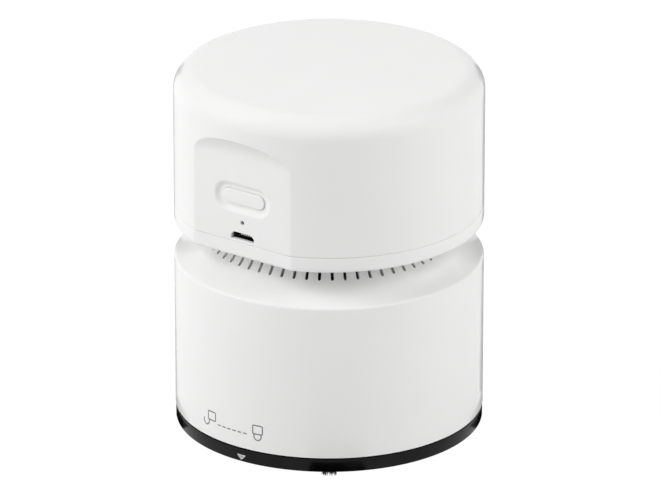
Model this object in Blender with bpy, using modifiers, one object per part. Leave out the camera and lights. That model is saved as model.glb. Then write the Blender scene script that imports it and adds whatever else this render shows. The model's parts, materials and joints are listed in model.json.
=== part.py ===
"""Desktop mini vacuum cleaner: two white drums that meet at a slotted waist, on a black twist-off base.

Metres, +Z up, the desk at z = 0. Every piece is modelled with the flat control panel facing -Y, and one
empty then turns the whole object so that the panel faces the front left.
"""

import math

import bmesh
import bpy
from mathutils import Matrix, Vector

MM = 0.001

# The two drums and their walls.
BODY_RADIUS = 38.0 * MM
WALL = 2.0 * MM
GAP = 0.3 * MM  # clearance between pieces that touch
SINK = 0.4 * MM  # how far a joined feature starts inside what carries it
OVERRUN = 3.0 * MM  # how far a cutter passes the face it cuts
MERGE = 0.001 * MM
PANEL_AZIMUTH = math.radians(-36.75)

# Heights, from the desk up.
FOOT_DROP = 4.0 * MM
RING_HEIGHT = 3.3 * MM
SHADOW_GAP = 0.35 * MM
DRUM_HEIGHT = 39.5 * MM
WAIST_OPENING = 8.85 * MM
SKIRT_HEIGHT = 3.7 * MM
COVER_HEIGHT = 35.2 * MM

Z_RING = FOOT_DROP
Z_RING_TOP = Z_RING + RING_HEIGHT
Z_DRUM = Z_RING_TOP + SHADOW_GAP
Z_RIM = Z_DRUM + DRUM_HEIGHT
Z_SKIRT = Z_RIM + WAIST_OPENING
Z_SKIRT_TOP = Z_SKIRT + SKIRT_HEIGHT
Z_SEAM = Z_SKIRT_TOP + GAP
Z_TOP = Z_SEAM + COVER_HEIGHT

# How finely round things are drawn.
VENT_COUNT = 60
DRUM_SIDES = VENT_COUNT
MEDIUM_SIDES = 36
INNER_SIDES = 20
SMALL_SIDES = 12
SCREW_SIDES = 8
SHARP_ANGLE = math.radians(32)
HALF_SIDE = Matrix.Rotation(math.pi / INNER_SIDES, 4, "Z")  # keeps inner corners off the drum's corners

# Top cover and its control panel.
TOP_FILLET = 5.5 * MM
PANEL_DEPTH = 2.93 * MM
PANEL_HEIGHT = 22.0 * MM
COVE_RADIUS = 5.8 * MM
COVE_SAG = 1.35 * MM  # how much lower the cove starts at the flat's edges than in its middle
COVE_SECTIONS = 8
BUTTON_RISE = 11.3 * MM
LED_RISE = 5.2 * MM
USB_RISE = 1.55 * MM
PANEL_Y = BODY_RADIUS - PANEL_DEPTH
Z_BUTTON = Z_SEAM + BUTTON_RISE
Z_LED = Z_SEAM + LED_RISE
Z_USB = Z_SEAM + USB_RISE

# Power button in its dish, and the switch behind it.
BUTTON_LENGTH = 12.6 * MM
BUTTON_WIDTH = 3.7 * MM
BUTTON_EDGE = 0.35 * MM
BUTTON_SUNK = 0.45 * MM
BUTTON_TRAVEL = 0.6 * MM
BUTTON_FLANGE = 1.0 * MM
BUTTON_FLANGE_REACH = 1.1 * MM
DISH_MARGIN = 2.2 * MM
DISH_FLOOR_MARGIN = 0.7 * MM
DISH_DEPTH = 1.0 * MM
SWITCH_SIDE = 6.0 * MM
SWITCH_DEPTH = 2.4 * MM
PLUNGER_RADIUS = 1.6 * MM
PLUNGER_REACH = 1.2 * MM
PLUNGER_SEAT = 0.7 * MM
D_FLANGE = WALL + GAP
D_BUTTON_BACK = D_FLANGE + BUTTON_FLANGE
D_PLUNGER = D_BUTTON_BACK + GAP
D_SWITCH = D_PLUNGER + PLUNGER_REACH
D_BOARD = D_SWITCH + SWITCH_DEPTH + GAP

# Charging socket, status light and control board.
USB_LENGTH = 6.9 * MM
USB_HEIGHT = 1.85 * MM
USB_CHAMFER = 0.6 * MM
USB_SHELL_WALL = 0.3 * MM
TONGUE_LENGTH = 3.7 * MM
TONGUE_HEIGHT = 0.6 * MM
LED_HOLE_RADIUS = 0.5 * MM
LIGHT_PIPE_RADIUS = 1.1 * MM
LED_HEIGHT = 0.8 * MM
LED_SIDE = 1.6 * MM
BOARD_LENGTH = 26.0 * MM
BOARD_HEIGHT = 20.0 * MM
BOARD_THICKNESS = 1.2 * MM
BOARD_NOTCH = 2.0 * MM
CHIP_SIDE = 5.0 * MM
CHIP_HEIGHT = 1.3 * MM
CHIP_SHARES = ((-0.3, 0.62, 1.0), (0.27, 0.74, 0.7), (0.3, 0.4, 0.5))
GUIDE_LENGTH = 1.6 * MM
GUIDE_HEIGHT = 9.0 * MM
GUIDE_LIP = 1.0 * MM

# Middle frame: skirt, floor and motor seat.
SKIRT_FILLET = 1.1 * MM
FLOOR = 2.0 * MM
LOCATOR_WALL = 1.5 * MM
LOCATOR_HEIGHT = 3.5 * MM
NECK_RIB_WALL = 1.4 * MM
NECK_RIB_DEPTH = 0.9 * MM
CRADLE_WALL = 1.4 * MM
CRADLE_HEIGHT = 7.0 * MM
POST_RADIUS = 2.4 * MM
POST_X = 16.5 * MM
POST_Y = 12.0 * MM
Z_FLOOR = Z_SKIRT + FLOOR
LOCATOR_RADIUS = BODY_RADIUS - WALL - GAP

# Lower housing: neck, flared shoulder, vents and bayonet catches.
NECK_RADIUS = 28.3 * MM
COVE_DROP = 1.5 * MM
COVE_BEND_SHARE = 0.61
RIM_FILLET = 0.9 * MM
VENT_AZIMUTH = math.radians(1.46)  # of one vent, counted from the front
VENT_WIDTH = 0.75 * MM
VENT_FOOT_SHARE = 0.237  # how far out on the shoulder the vents run
VENT_DEPTH = 1.0 * MM
VENT_CAP = 0.3 * MM  # solid neck between the cove's top and the vents
VENT_LAND = 0.5 * MM
CHAMBER_STEP_SHARE = 0.402  # how far the fan's chamber widens below the neck
CHAMBER_RISE_SHARE = 0.45
SEAT_LIP = 1.4 * MM
SEAT_WALL_SHARE = 0.39
SEAT_DROP = 0.9 * MM
Z_NECK = Z_SKIRT - GAP
Z_COVE = Z_SKIRT - COVE_DROP
Z_SEAT = Z_RIM - SEAT_DROP
NECK_BORE = NECK_RADIUS - WALL
DRUM_BORE = BODY_RADIUS - WALL
VENT_FOOT_RADIUS = NECK_RADIUS + VENT_FOOT_SHARE * (BODY_RADIUS - NECK_RADIUS)
FAN_CHAMBER_RADIUS = NECK_BORE + CHAMBER_STEP_SHARE * (DRUM_BORE - NECK_BORE)
SHROUD_RADIUS = FAN_CHAMBER_RADIUS + SEAT_LIP
SEAT_BORE = SHROUD_RADIUS + GAP
SEAT_RADIUS = SEAT_BORE + SEAT_WALL_SHARE * (DRUM_BORE - SEAT_BORE)

# Bayonet between the base and the lower housing. The angles are counted from the panel.
LUG_COUNT = 4
LUG_REACH = 1.5 * MM
LUG_HEIGHT = 2.0 * MM
LUG_ANGLE = math.radians(14)
STOP_ANGLE = math.radians(2.5)
STOP_SLACK_ANGLE = math.radians(0.6)
LOCK_ANGLE = math.radians(7)  # turn from rest to the closed padlock
LUG_AZIMUTH = math.radians(30)
CATCH_AZIMUTH = LUG_AZIMUTH + LOCK_ANGLE
LUG_STEPS = 3

# Base ring and its floor.
RING_INSET = 0.1 * MM
RING_LAND = 6.0 * MM
RING_EDGE = 0.2 * MM
SPIGOT_WALL = 1.8 * MM
LEDGE_WIDTH = 6.4 * MM
LEDGE_THICKNESS = 1.6 * MM
SEAL_HEIGHT = 1.6 * MM
SEAL_ROOM = 1.0 * MM  # between the seal and the bayonet catches
RING_RADIUS = BODY_RADIUS - RING_INSET
POCKET_RADIUS = RING_RADIUS - RING_LAND
LEDGE_BORE = POCKET_RADIUS - LEDGE_WIDTH
SPIGOT_RADIUS = DRUM_BORE - LUG_REACH - GAP
SPIGOT_BORE = SPIGOT_RADIUS - SPIGOT_WALL
Z_CATCH = Z_DRUM + SEAL_HEIGHT + SEAL_ROOM
Z_LUG = Z_CATCH + LUG_HEIGHT + GAP
Z_SPIGOT = Z_LUG + LUG_HEIGHT + GAP

# Suction plate, mouth and duct.
PLATE_RECESS = 0.2 * MM
PLATE_THICKNESS = 2.2 * MM
PLATE_CHAMFER = 0.4 * MM
MOUTH_RADIUS = 7.5 * MM
LOBE_WIDTH = 5.0 * MM
LOBE_PAIRS = 2
LOBE_AZIMUTH = math.radians(45)
DUCT_WALL = 1.2 * MM
DUCT_FLANGE = 3.0 * MM
DUCT_CLEARANCE = 1.0 * MM
DUCT_ROOM = 3.1 * MM  # between the duct's flange and the ring's ledge
CHIMNEY_RADIUS = 9.2 * MM
CHIMNEY_ROOM = 4.1 * MM  # way out for the air under the filter
FUNNEL_HEIGHT = 8.0 * MM
PLATE_RADIUS = POCKET_RADIUS - GAP
LOBE_REACH = LEDGE_BORE - DUCT_ROOM - DUCT_FLANGE - DUCT_WALL - DUCT_CLEARANCE
Z_PLATE = Z_RING + PLATE_RECESS
Z_PLATE_TOP = Z_PLATE + PLATE_THICKNESS
Z_LEDGE = Z_PLATE_TOP + GAP
Z_LEDGE_TOP = Z_LEDGE + LEDGE_THICKNESS

# Brush rows on the underside.
BRUSH_NAMES = ("brush_front", "brush_right", "brush_back", "brush_left")
BRUSH_WIDTH = 3.6 * MM
BRUSH_BACKING = 0.9 * MM
BRUSH_END = 1.0 * MM  # plate left between a brush groove and the plate's edge
BRUSH_MARGIN = 3.2 * MM  # plate left between a brush and the mouth
BRISTLE_ROWS = 3
BRISTLE_COLUMNS = 13
BRISTLE_TIP = 0.3 * MM  # the tips stop this far above the desk
BRISTLE_UNEVEN = 0.5 * MM
BRISTLE_FAN = 0.7 * MM
BRISTLE_ROOT_SHARE = 0.6
BRISTLE_SPREAD = 2.4  # radians between one strand's unevenness and the next's
BRUSH_OUTER = PLATE_RADIUS - BRUSH_END - GAP
BRUSH_INNER = MOUTH_RADIUS + BRUSH_MARGIN

# Glide pads and their posts.
PAD_RADIUS = 2.6 * MM
PAD_HEIGHT = 1.2 * MM
PAD_EDGE = 0.3 * MM
PAD_MARGIN = 0.4 * MM
PAD_DRAFT = 0.5 * MM
PAD_COUNT = 4
PAD_AZIMUTH = math.radians(45)
PAD_CIRCLE = (LOBE_REACH + PLATE_RADIUS) / 2

# Screws: two kinds, with the same shank.
SCREW_RADIUS = 1.0 * MM
SCREW_HEAD_RADIUS = 1.9 * MM
SCREW_HEAD = 1.1 * MM
SCREW_LENGTH = 4.6 * MM
SCREW_RECESS = 0.5 * MM
SCREW_SOCKET = 0.8 * MM
SCREW_BORE = SCREW_RADIUS + GAP
BOSS_RADIUS = 2.3 * MM
BOSS_DROP = 1.0 * MM  # the neck's bosses start this far below the vents
PLATE_SCREW_COUNT = 4
PLATE_SCREW_AZIMUTH = math.radians(22.5)
HOUSING_SCREW_AZIMUTHS = tuple(math.radians(turn) for turn in (90, 180, 270))
PLATE_SCREW_CIRCLE = POCKET_RADIUS - LEDGE_WIDTH / 2
NECK_SCREW_CIRCLE = NECK_RADIUS - SINK - BOSS_RADIUS

# Fan, motor and filter.
SHROUD_THICKNESS = 1.3 * MM
EYE_RADIUS = 9.5 * MM
EYE_LIP = 1.1 * MM
SEAL_THICKNESS = 0.8 * MM
SEAL_WIDTH = 3.5 * MM
FILTER_FLANGE = 1.2 * MM
FILTER_TOP_RADIUS = 18.0 * MM
FILTER_FOOT_RADIUS = 15.5 * MM
FILTER_DEPTH = 12.0 * MM
FILTER_WALL = 1.2 * MM
FILTER_FLOOR = 1.4 * MM
FILTER_WINDOWS = 8
FILTER_WINDOW_SHARE = 0.62
FILTER_WINDOW_MARGIN = 2.2 * MM
MEDIA_THICKNESS = 0.9 * MM
IMPELLER_CLEARANCE = 0.8 * MM  # between the blade tips and the screw bosses
IMPELLER_PLATE = 1.2 * MM
IMPELLER_HEADROOM = 1.5 * MM
IMPELLER_HUB = 3.4 * MM
BLADE_COUNT = 9
BLADE_THICKNESS = 0.9 * MM
BLADE_HEIGHT = 5.4 * MM
BLADE_INNER = 10.0 * MM
BLADE_SWEEP = math.radians(48)
BLADE_STEPS = 5
SHAFT_RADIUS = 1.0 * MM
SHAFT_FIT = 0.1 * MM
MOTOR_RADIUS = 12.2 * MM
MOTOR_WALL = 0.9 * MM
MOTOR_BOSS_RADIUS = 3.1 * MM
MOTOR_BOSS = 1.2 * MM
END_CAP = 1.6 * MM
MAGNET_WALL = 1.8 * MM
AIR_GAP = 0.5 * MM
POLE_COUNT = 3
POLE_STEM_SHARE = 0.36
POLE_NECK_SHARE = 0.66
POLE_SPAN = math.radians(100)
DAMPER_WALL = 1.2 * MM
DAMPER_HEIGHT = 6.0 * MM
Z_SHROUD = Z_SEAT - GAP - SHROUD_THICKNESS
Z_FILTER_SEAL = Z_SHROUD - GAP - SEAL_THICKNESS
Z_FLANGE = Z_FILTER_SEAL - GAP - FILTER_FLANGE
Z_FILTER = Z_FLANGE - FILTER_DEPTH
Z_IMPELLER_TOP = Z_SKIRT - IMPELLER_HEADROOM
IMPELLER_RADIUS = NECK_SCREW_CIRCLE - BOSS_RADIUS - IMPELLER_CLEARANCE
Z_MOTOR = Z_FLOOR + GAP
SHAFT_BORE = SHAFT_RADIUS + GAP
CRADLE_BORE = MOTOR_RADIUS + GAP + DAMPER_WALL + GAP

# Battery above the motor.
BATTERY_RADIUS = 7.0 * MM
BATTERY_LENGTH = 48.0 * MM
BATTERY_EDGE = 0.6 * MM
BATTERY_NUB_RADIUS = 2.6 * MM
BATTERY_NUB = 1.0 * MM
TRAY_THICKNESS = 1.2 * MM
TRAY_OVERHANG = 3.4 * MM
SADDLE_THICKNESS = 2.0 * MM
SADDLE_X = 17.0 * MM
SADDLE_WIDTH = 17.5 * MM
SADDLE_HEIGHT = 7.5 * MM
SADDLE_FLOOR = 0.3 * MM  # saddle left under the cell's bed
MOTOR_HEADROOM = 1.0 * MM
CELL_HEADROOM = 4.5 * MM  # between the cell and the cover's top
TAB_THICKNESS = 0.4 * MM
TAB_WIDTH = 5.0 * MM
Z_BATTERY = Z_TOP - WALL - CELL_HEADROOM - BATTERY_RADIUS
Z_TRAY = Z_BATTERY - BATTERY_RADIUS - GAP - SADDLE_FLOOR - TRAY_THICKNESS
Z_MOTOR_TOP = Z_TRAY - MOTOR_HEADROOM - MOTOR_BOSS

WHITE = (0.86, 0.86, 0.85)
BLACK = (0.012, 0.012, 0.013)
DARK = (0.03, 0.03, 0.032)
GREY = (0.45, 0.46, 0.47)


def new_collection(name):
    made = bpy.data.collections.new(name)
    bpy.context.scene.collection.children.link(made)
    return made


def clear_scene():
    for obj in list(bpy.data.objects):
        bpy.data.objects.remove(obj, do_unlink=True)


def new_empty(name, parent=None, location=(0, 0, 0), turn=0):
    """An empty that carries pieces: the whole object, or one of its axes."""
    empty = bpy.data.objects.new(name, None)
    empty.empty_display_size = WALL
    empty.location = location
    empty.rotation_euler = (0, 0, turn)
    empty.parent = parent
    PARTS.objects.link(empty)
    return empty


def surface(name, colour, roughness, metallic=0.0, alpha=1.0):
    """A Principled material."""
    made = bpy.data.materials.new(name)
    made.use_nodes = True
    shader = made.node_tree.nodes["Principled BSDF"]
    shader.inputs["Base Color"].default_value = (*colour, 1)
    shader.inputs["Roughness"].default_value = roughness
    shader.inputs["Metallic"].default_value = metallic
    shader.inputs["Alpha"].default_value = alpha
    made.diffuse_color = (*colour, alpha)
    return made


def helper(name, mesh):
    """A shape that only cuts or joins others: it's drawn as wire and never rendered."""
    obj = bpy.data.objects.new(name, mesh)
    obj.hide_render = True
    obj.display_type = "WIRE"
    HELPERS.objects.link(obj)
    return obj


def closed_mesh(name, bm):
    bmesh.ops.recalc_face_normals(bm, faces=bm.faces)
    mesh = bpy.data.meshes.new(name)
    bm.to_mesh(mesh)
    bm.free()
    return mesh


def settle(obj):
    """The modifiers' result becomes the object's mesh, so that later steps read plain geometry."""
    bpy.context.view_layer.update()
    graph = bpy.context.evaluated_depsgraph_get()
    mesh = bpy.data.meshes.new_from_object(obj.evaluated_get(graph))
    obj.modifiers.clear()
    obj.data = mesh
    return obj


def arc(centre, radius, start, end, steps):
    """Points along an arc, with its angles in degrees."""
    angles = [math.radians(start + (end - start) * step / steps) for step in range(steps + 1)]
    return [(centre[0] + radius * math.cos(a), centre[1] + radius * math.sin(a)) for a in angles]


def revolve(name, profile, sides=DRUM_SIDES):
    """Turned solid. The (radius, height) points run down its outer side, from the top."""
    bm = bmesh.new()
    verts = [bm.verts.new((radius, 0, height)) for radius, height in profile]
    for upper, lower in zip(verts, verts[1:]):
        bm.edges.new((upper, lower))
    if profile[0][0] > 0:
        bm.edges.new((verts[-1], verts[0]))
    mesh = bpy.data.meshes.new(name)
    bm.to_mesh(mesh)
    bm.free()
    obj = helper(name, mesh)
    screw = obj.modifiers.new("turn", "SCREW")
    screw.axis = "Z"
    screw.angle = math.tau
    screw.steps = screw.render_steps = sides
    screw.use_merge_vertices = True
    screw.merge_threshold = MERGE
    return settle(obj)


def disc(name, radius, low, high, sides=DRUM_SIDES):
    return revolve(name, [(0, high), (radius, high), (radius, low), (0, low)], sides)


def tube(name, outer, inner, low, high, sides=DRUM_SIDES):
    return revolve(name, [(outer, high), (outer, low), (inner, low), (inner, high)], sides)


def loft(name, rings):
    """Closed skin over rings of points, with both ends capped."""
    bm = bmesh.new()
    loops = [[bm.verts.new(point) for point in ring] for ring in rings]
    for low, high in zip(loops, loops[1:]):
        for side, corner in enumerate(low):
            following = (side + 1) % len(low)
            bm.faces.new((corner, low[following], high[following], high[side]))
    bm.faces.new(loops[0])
    bm.faces.new(loops[-1])
    return helper(name, closed_mesh(name, bm))


def prism(name, outline, low, high):
    """Upright prism over an outline of (x, y) points."""
    return loft(name, [[(x, y, z) for x, y in outline] for z in (low, high)])


def panel_loft(name, sections):
    """Solid that stands square to the panel: (depth, outline) pairs, with outlines of (x, z) points."""
    return loft(name, [[(x, depth - PANEL_Y, z) for x, z in outline] for depth, outline in sections])


def block(name, low, high):
    """Box between two corners."""
    middle = (Vector(low) + Vector(high)) / 2
    size = Vector(high) - Vector(low)
    bm = bmesh.new()
    bmesh.ops.create_cube(bm, size=1, matrix=Matrix.Translation(middle) @ Matrix.Diagonal((*size, 1)))
    return helper(name, closed_mesh(name, bm))


def rod(name, radius, low, high, sides, place=(0, 0), tip_radius=None):
    """Upright cylinder or cone frustum, with its tip radius at the bottom."""
    bm = bmesh.new()
    bmesh.ops.create_cone(
        bm,
        cap_ends=True,
        segments=sides,
        radius1=radius if tip_radius is None else tip_radius,
        radius2=radius,
        depth=high - low,
        matrix=Matrix.Translation((*place, (low + high) / 2)),
    )
    return helper(name, closed_mesh(name, bm))


def polar(radius, angle):
    """Point at an angle counted from the panel's direction, -Y, towards +X."""
    return (radius * math.sin(angle), -radius * math.cos(angle))


def around(radius, first, count):
    """Places evenly round a circle, the first at an angle counted from the object's front."""
    return [polar(radius, first + math.tau * number / count - PANEL_AZIMUTH) for number in range(count)]


def sector(name, inner, outer, middle, span, low, high, steps):
    """Block between two radii over an angle."""
    angles = [middle - span / 2 + span * step / steps for step in range(steps + 1)]
    outline = [polar(outer, angle) for angle in angles]
    outline += [polar(inner, angle) for angle in reversed(angles)]
    return prism(name, outline, low, high)


def pill(length, width, centre_z, steps=6):
    """Outline of a slot with round ends, as (x, z) points."""
    radius = width / 2
    reach = length / 2 - radius
    right = arc((reach, centre_z), radius, -90, 90, steps)
    left = arc((-reach, centre_z), radius, 90, 270, steps)
    return right + left


def merged(name, pieces):
    """One helper out of several that don't touch, so that one Boolean applies them all."""
    bm = bmesh.new()
    for piece in pieces:
        copy = piece.data.copy()
        copy.transform(piece.matrix_basis)
        bm.from_mesh(copy)
        bpy.data.objects.remove(piece)
    return helper(name, closed_mesh(name, bm))


def combine(obj, others, operation):
    for other in others:
        step = obj.modifiers.new(other.name, "BOOLEAN")
        step.operation = operation
        step.solver = "EXACT"
        step.object = other
    return settle(obj)


def cut(obj, *cutters):
    return combine(obj, cutters, "DIFFERENCE")


def join(obj, *pieces):
    return combine(obj, pieces, "UNION")


def part(obj, material, parent=None, origin=(0, 0, 0)):
    """A helper shape becomes a piece of the object, with its origin on the axis that it moves about."""
    HELPERS.objects.unlink(obj)
    PARTS.objects.link(obj)
    obj.hide_render = False
    obj.display_type = "TEXTURED"
    obj.parent = parent or WHOLE
    obj.data.transform(Matrix.Translation(-Vector(origin)))
    obj.data.materials.clear()
    obj.data.materials.append(material)
    obj.data.shade_smooth()
    obj.data.set_sharp_from_angle(angle=SHARP_ANGLE)
    return obj


def beyond(name, depth, low):
    """Everything in front of a plane parallel to the panel, from a height up."""
    reach = BODY_RADIUS + OVERRUN
    return block(name, (-reach, -reach, low), (reach, depth - PANEL_Y, Z_TOP + OVERRUN))


def flatted(name, profile, depth, low):
    """Turned solid with a flat parallel to the panel."""
    return cut(revolve(name, profile), beyond(f"{name}_flat", depth, low))


def drum_profile(radius, fillet, low, high, steps):
    top = arc((radius - fillet, high - fillet), fillet, 90, 0, steps)
    return [(0, high), *top, (radius, low), (0, low)]


def panel_cutter():
    """Removes the flat of the control panel and the arched cove that ends it at the top."""
    edge = math.sqrt(BODY_RADIUS**2 - PANEL_Y**2)
    front, bottom = -(PANEL_Y + COVE_RADIUS + OVERRUN), Z_SKIRT - OVERRUN
    rings = []
    for section in range(COVE_SECTIONS + 1):
        x = (edge + OVERRUN) * (2 * section / COVE_SECTIONS - 1)
        z_cove = Z_SEAM + PANEL_HEIGHT - COVE_SAG * (x / edge) ** 2
        cove = arc((-(PANEL_Y + COVE_RADIUS), z_cove), COVE_RADIUS, 0, 90, 6)
        side = [(front, bottom), (-PANEL_Y, bottom), *cove, (front, z_cove + COVE_RADIUS)]
        rings.append([(x, y, z) for y, z in side])
    return loft("panel_cutter", rings)


def usb_outline(margin=0.0):
    """Micro socket opening: wide at the bottom, with its two upper corners cut off."""
    half = USB_LENGTH / 2 + margin
    low = Z_USB - USB_HEIGHT / 2 - margin
    high = Z_USB + USB_HEIGHT / 2 + margin
    return [
        (-half, low),
        (half, low),
        (half, high - USB_CHAMFER),
        (half - USB_CHAMFER, high),
        (USB_CHAMFER - half, high),
        (-half, high - USB_CHAMFER),
    ]


def round_outline(radius, centre_z, sides):
    return arc((0, centre_z), radius, 0, 360 - 360 / sides, sides - 1)


def top_cover():
    """White moulded cover with the panel flat, the button's dish and the openings of the panel."""
    cover = revolve("top_cover", drum_profile(BODY_RADIUS, TOP_FILLET, Z_SEAM, Z_TOP, 5))
    hollow = drum_profile(BODY_RADIUS - WALL, TOP_FILLET - WALL, Z_SEAM - OVERRUN, Z_TOP - WALL, 2)
    inside = flatted("cover_inside", hollow, WALL, Z_SEAM - 2 * OVERRUN)
    dish_top = pill(BUTTON_LENGTH + 2 * DISH_MARGIN, BUTTON_WIDTH + 2 * DISH_MARGIN, Z_BUTTON)
    dish_floor = pill(
        BUTTON_LENGTH + 2 * DISH_FLOOR_MARGIN, BUTTON_WIDTH + 2 * DISH_FLOOR_MARGIN, Z_BUTTON
    )
    dish = panel_loft("button_dish", [(-OVERRUN, dish_top), (0, dish_top), (DISH_DEPTH, dish_floor)])
    hole = pill(BUTTON_LENGTH + 2 * GAP, BUTTON_WIDTH + 2 * GAP, Z_BUTTON)
    button_hole = panel_loft("button_hole", [(-OVERRUN, hole), (WALL + OVERRUN, hole)])
    led = round_outline(LED_HOLE_RADIUS, Z_LED, SMALL_SIDES)
    led_hole = panel_loft("led_hole", [(-OVERRUN, led), (WALL + OVERRUN, led)])
    usb_hole = panel_loft("usb_hole", [(-OVERRUN, usb_outline()), (WALL + OVERRUN, usb_outline())])
    cut(cover, panel_cutter(), inside, dish, button_hole, led_hole, usb_hole)
    return part(cover, SATIN_WHITE)


def mid_frame():
    """Skirt below the seam, the floor that carries the motor, and the wall that centres the cover."""
    skirt = arc((BODY_RADIUS - SKIRT_FILLET, Z_SKIRT + SKIRT_FILLET), SKIRT_FILLET, 0, -90, 3)
    z_top = Z_SKIRT_TOP + LOCATOR_HEIGHT
    outside = [(0, z_top), (LOCATOR_RADIUS, z_top), (LOCATOR_RADIUS, Z_SKIRT_TOP)]
    outside += [(BODY_RADIUS, Z_SKIRT_TOP), *skirt, (0, Z_SKIRT)]
    frame = revolve("mid_frame", outside)
    bore = LOCATOR_RADIUS - LOCATOR_WALL
    hollow = [(0, z_top + OVERRUN), (bore, z_top + OVERRUN), (bore, Z_FLOOR), (0, Z_FLOOR)]
    inside = flatted("frame_inside", hollow, D_FLANGE + LOCATOR_WALL, Z_FLOOR - OVERRUN)
    notch = block(
        "usb_notch",
        (-(USB_LENGTH + WALL), -PANEL_Y + WALL, Z_SKIRT_TOP),
        (USB_LENGTH + WALL, -PANEL_Y + D_BOARD, z_top + OVERRUN),
    )
    cut(frame, panel_cutter(), beyond("locator_flat", D_FLANGE, Z_SKIRT_TOP), inside, notch)
    cradle = tube(
        "motor_cradle",
        CRADLE_BORE + CRADLE_WALL,
        CRADLE_BORE,
        Z_FLOOR - SINK,
        Z_FLOOR + CRADLE_HEIGHT,
        INNER_SIDES,
    )
    rib = tube(
        "neck_rib",
        NECK_BORE - GAP,
        NECK_BORE - GAP - NECK_RIB_WALL,
        Z_SKIRT - NECK_RIB_DEPTH,
        Z_SKIRT + SINK,
        INNER_SIDES,
    )
    posts = [
        rod("post", POST_RADIUS, Z_FLOOR - SINK, Z_TRAY - GAP, SCREW_SIDES, (x, y))
        for x in (-POST_X, POST_X)
        for y in (-POST_Y, POST_Y)
    ]
    cradle.matrix_basis = rib.matrix_basis = HALF_SIDE
    join(frame, cradle, rib, merged("tray_posts", posts), board_guides())
    shaft_hole = disc("shaft_hole", MOTOR_BOSS_RADIUS + GAP, Z_SKIRT - OVERRUN, Z_MOTOR, INNER_SIDES)
    shaft_hole.matrix_basis = HALF_SIDE
    room = [
        rod("boss_room", BOSS_RADIUS + GAP, Z_SKIRT - OVERRUN, Z_SKIRT, SMALL_SIDES, place)
        for place in neck_screw_places()
    ]
    bores = [
        rod("screw_bore", SCREW_BORE, Z_SKIRT - OVERRUN, Z_FLOOR + OVERRUN, SCREW_SIDES, place)
        for place in neck_screw_places()
    ]
    cut(frame, shaft_hole, merged("boss_rooms", room), merged("frame_bores", bores))
    return part(frame, SATIN_WHITE)


def board_guides():
    """Two slotted uprights that hold the control board by its edges."""
    guides = []
    for side in (-1, 1):
        inner = side * (BOARD_LENGTH / 2 - GUIDE_LIP)
        outer = side * (BOARD_LENGTH / 2 + GAP + GUIDE_LENGTH)
        slot_end = side * (BOARD_LENGTH / 2 + GAP)
        front = -PANEL_Y + D_BOARD
        back = front + BOARD_THICKNESS
        top = Z_FLOOR + GUIDE_HEIGHT
        outline = [
            (outer, front - GAP - GUIDE_LENGTH),
            (inner, front - GAP - GUIDE_LENGTH),
            (inner, front - GAP),
            (slot_end, front - GAP),
            (slot_end, back + GAP),
            (inner, back + GAP),
            (inner, back + GAP + GUIDE_LENGTH),
            (outer, back + GAP + GUIDE_LENGTH),
        ]
        guides.append(prism("guide", outline, Z_FLOOR - SINK, top))
    return merged("board_guides", guides)


def neck_screw_places():
    return [polar(NECK_SCREW_CIRCLE, angle) for angle in HOUSING_SCREW_AZIMUTHS]


def plate_screw_places():
    return around(PLATE_SCREW_CIRCLE, PLATE_SCREW_AZIMUTH, PLATE_SCREW_COUNT)


def shoulder_curve(steps):
    """Concave flare from the neck out to the rim, then the rim's own small round."""
    bend = Z_RIM + COVE_BEND_SHARE * (Z_COVE - Z_RIM)
    slope = math.degrees(math.atan2(bend - Z_RIM, BODY_RADIUS - NECK_RADIUS))
    centre = (BODY_RADIUS - RIM_FILLET, Z_RIM - RIM_FILLET)
    rim = arc(centre, RIM_FILLET, 90 - slope, 0, 2)
    end, start, control = rim[0], (NECK_RADIUS, Z_COVE), (NECK_RADIUS, bend)
    curve = []
    for step in range(steps):
        t = step / steps
        weights = ((1 - t) ** 2, 2 * t * (1 - t), t * t)
        curve.append(
            tuple(sum(w * p[axis] for w, p in zip(weights, (start, control, end))) for axis in (0, 1))
        )
    return curve, rim


def lower_housing():
    """White drum with its flared shoulder, ring of vents, fan seat and bayonet catches."""
    curve, rim = shoulder_curve(5)
    z_bore = vent_floor() - VENT_LAND
    z_chamber = z_bore - CHAMBER_RISE_SHARE * (FAN_CHAMBER_RADIUS - NECK_BORE)
    profile = [(NECK_RADIUS, Z_NECK), *curve, *rim, (BODY_RADIUS, Z_DRUM), (DRUM_BORE, Z_DRUM)]
    profile += [(DRUM_BORE, Z_SEAT - WALL), (SEAT_RADIUS, Z_SEAT - WALL / 2)]
    profile += [(SEAT_RADIUS, Z_FLANGE), (SEAT_BORE, Z_FLANGE)]
    profile += [(SEAT_BORE, Z_SEAT), (FAN_CHAMBER_RADIUS, Z_SEAT)]
    profile += [(FAN_CHAMBER_RADIUS, z_chamber), (NECK_BORE, z_bore), (NECK_BORE, Z_NECK)]
    housing = revolve("lower_housing", profile)
    cut(housing, vent_cutters())
    bosses = [
        rod("boss", BOSS_RADIUS, vent_floor() - BOSS_DROP, Z_NECK, SMALL_SIDES, place)
        for place in neck_screw_places()
    ]
    join(housing, merged("neck_bosses", bosses), bayonet_catches())
    bores = [
        rod("boss_bore", SCREW_BORE, vent_floor() - 2 * OVERRUN, Z_NECK + OVERRUN, SCREW_SIDES, place)
        for place in neck_screw_places()
    ]
    cut(housing, merged("boss_bores", bores))
    return part(housing, SATIN_WHITE)


def vent_floor():
    """Height of the vents' lower face, just under the shoulder where they run out."""
    curve, rim = shoulder_curve(DRUM_SIDES)
    points = [*curve, rim[0]]
    for (r0, z0), (r1, z1) in zip(points, points[1:]):
        if r0 <= VENT_FOOT_RADIUS <= r1:
            return z0 + (z1 - z0) * (VENT_FOOT_RADIUS - r0) / (r1 - r0) - VENT_DEPTH
    return Z_RIM


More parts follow.
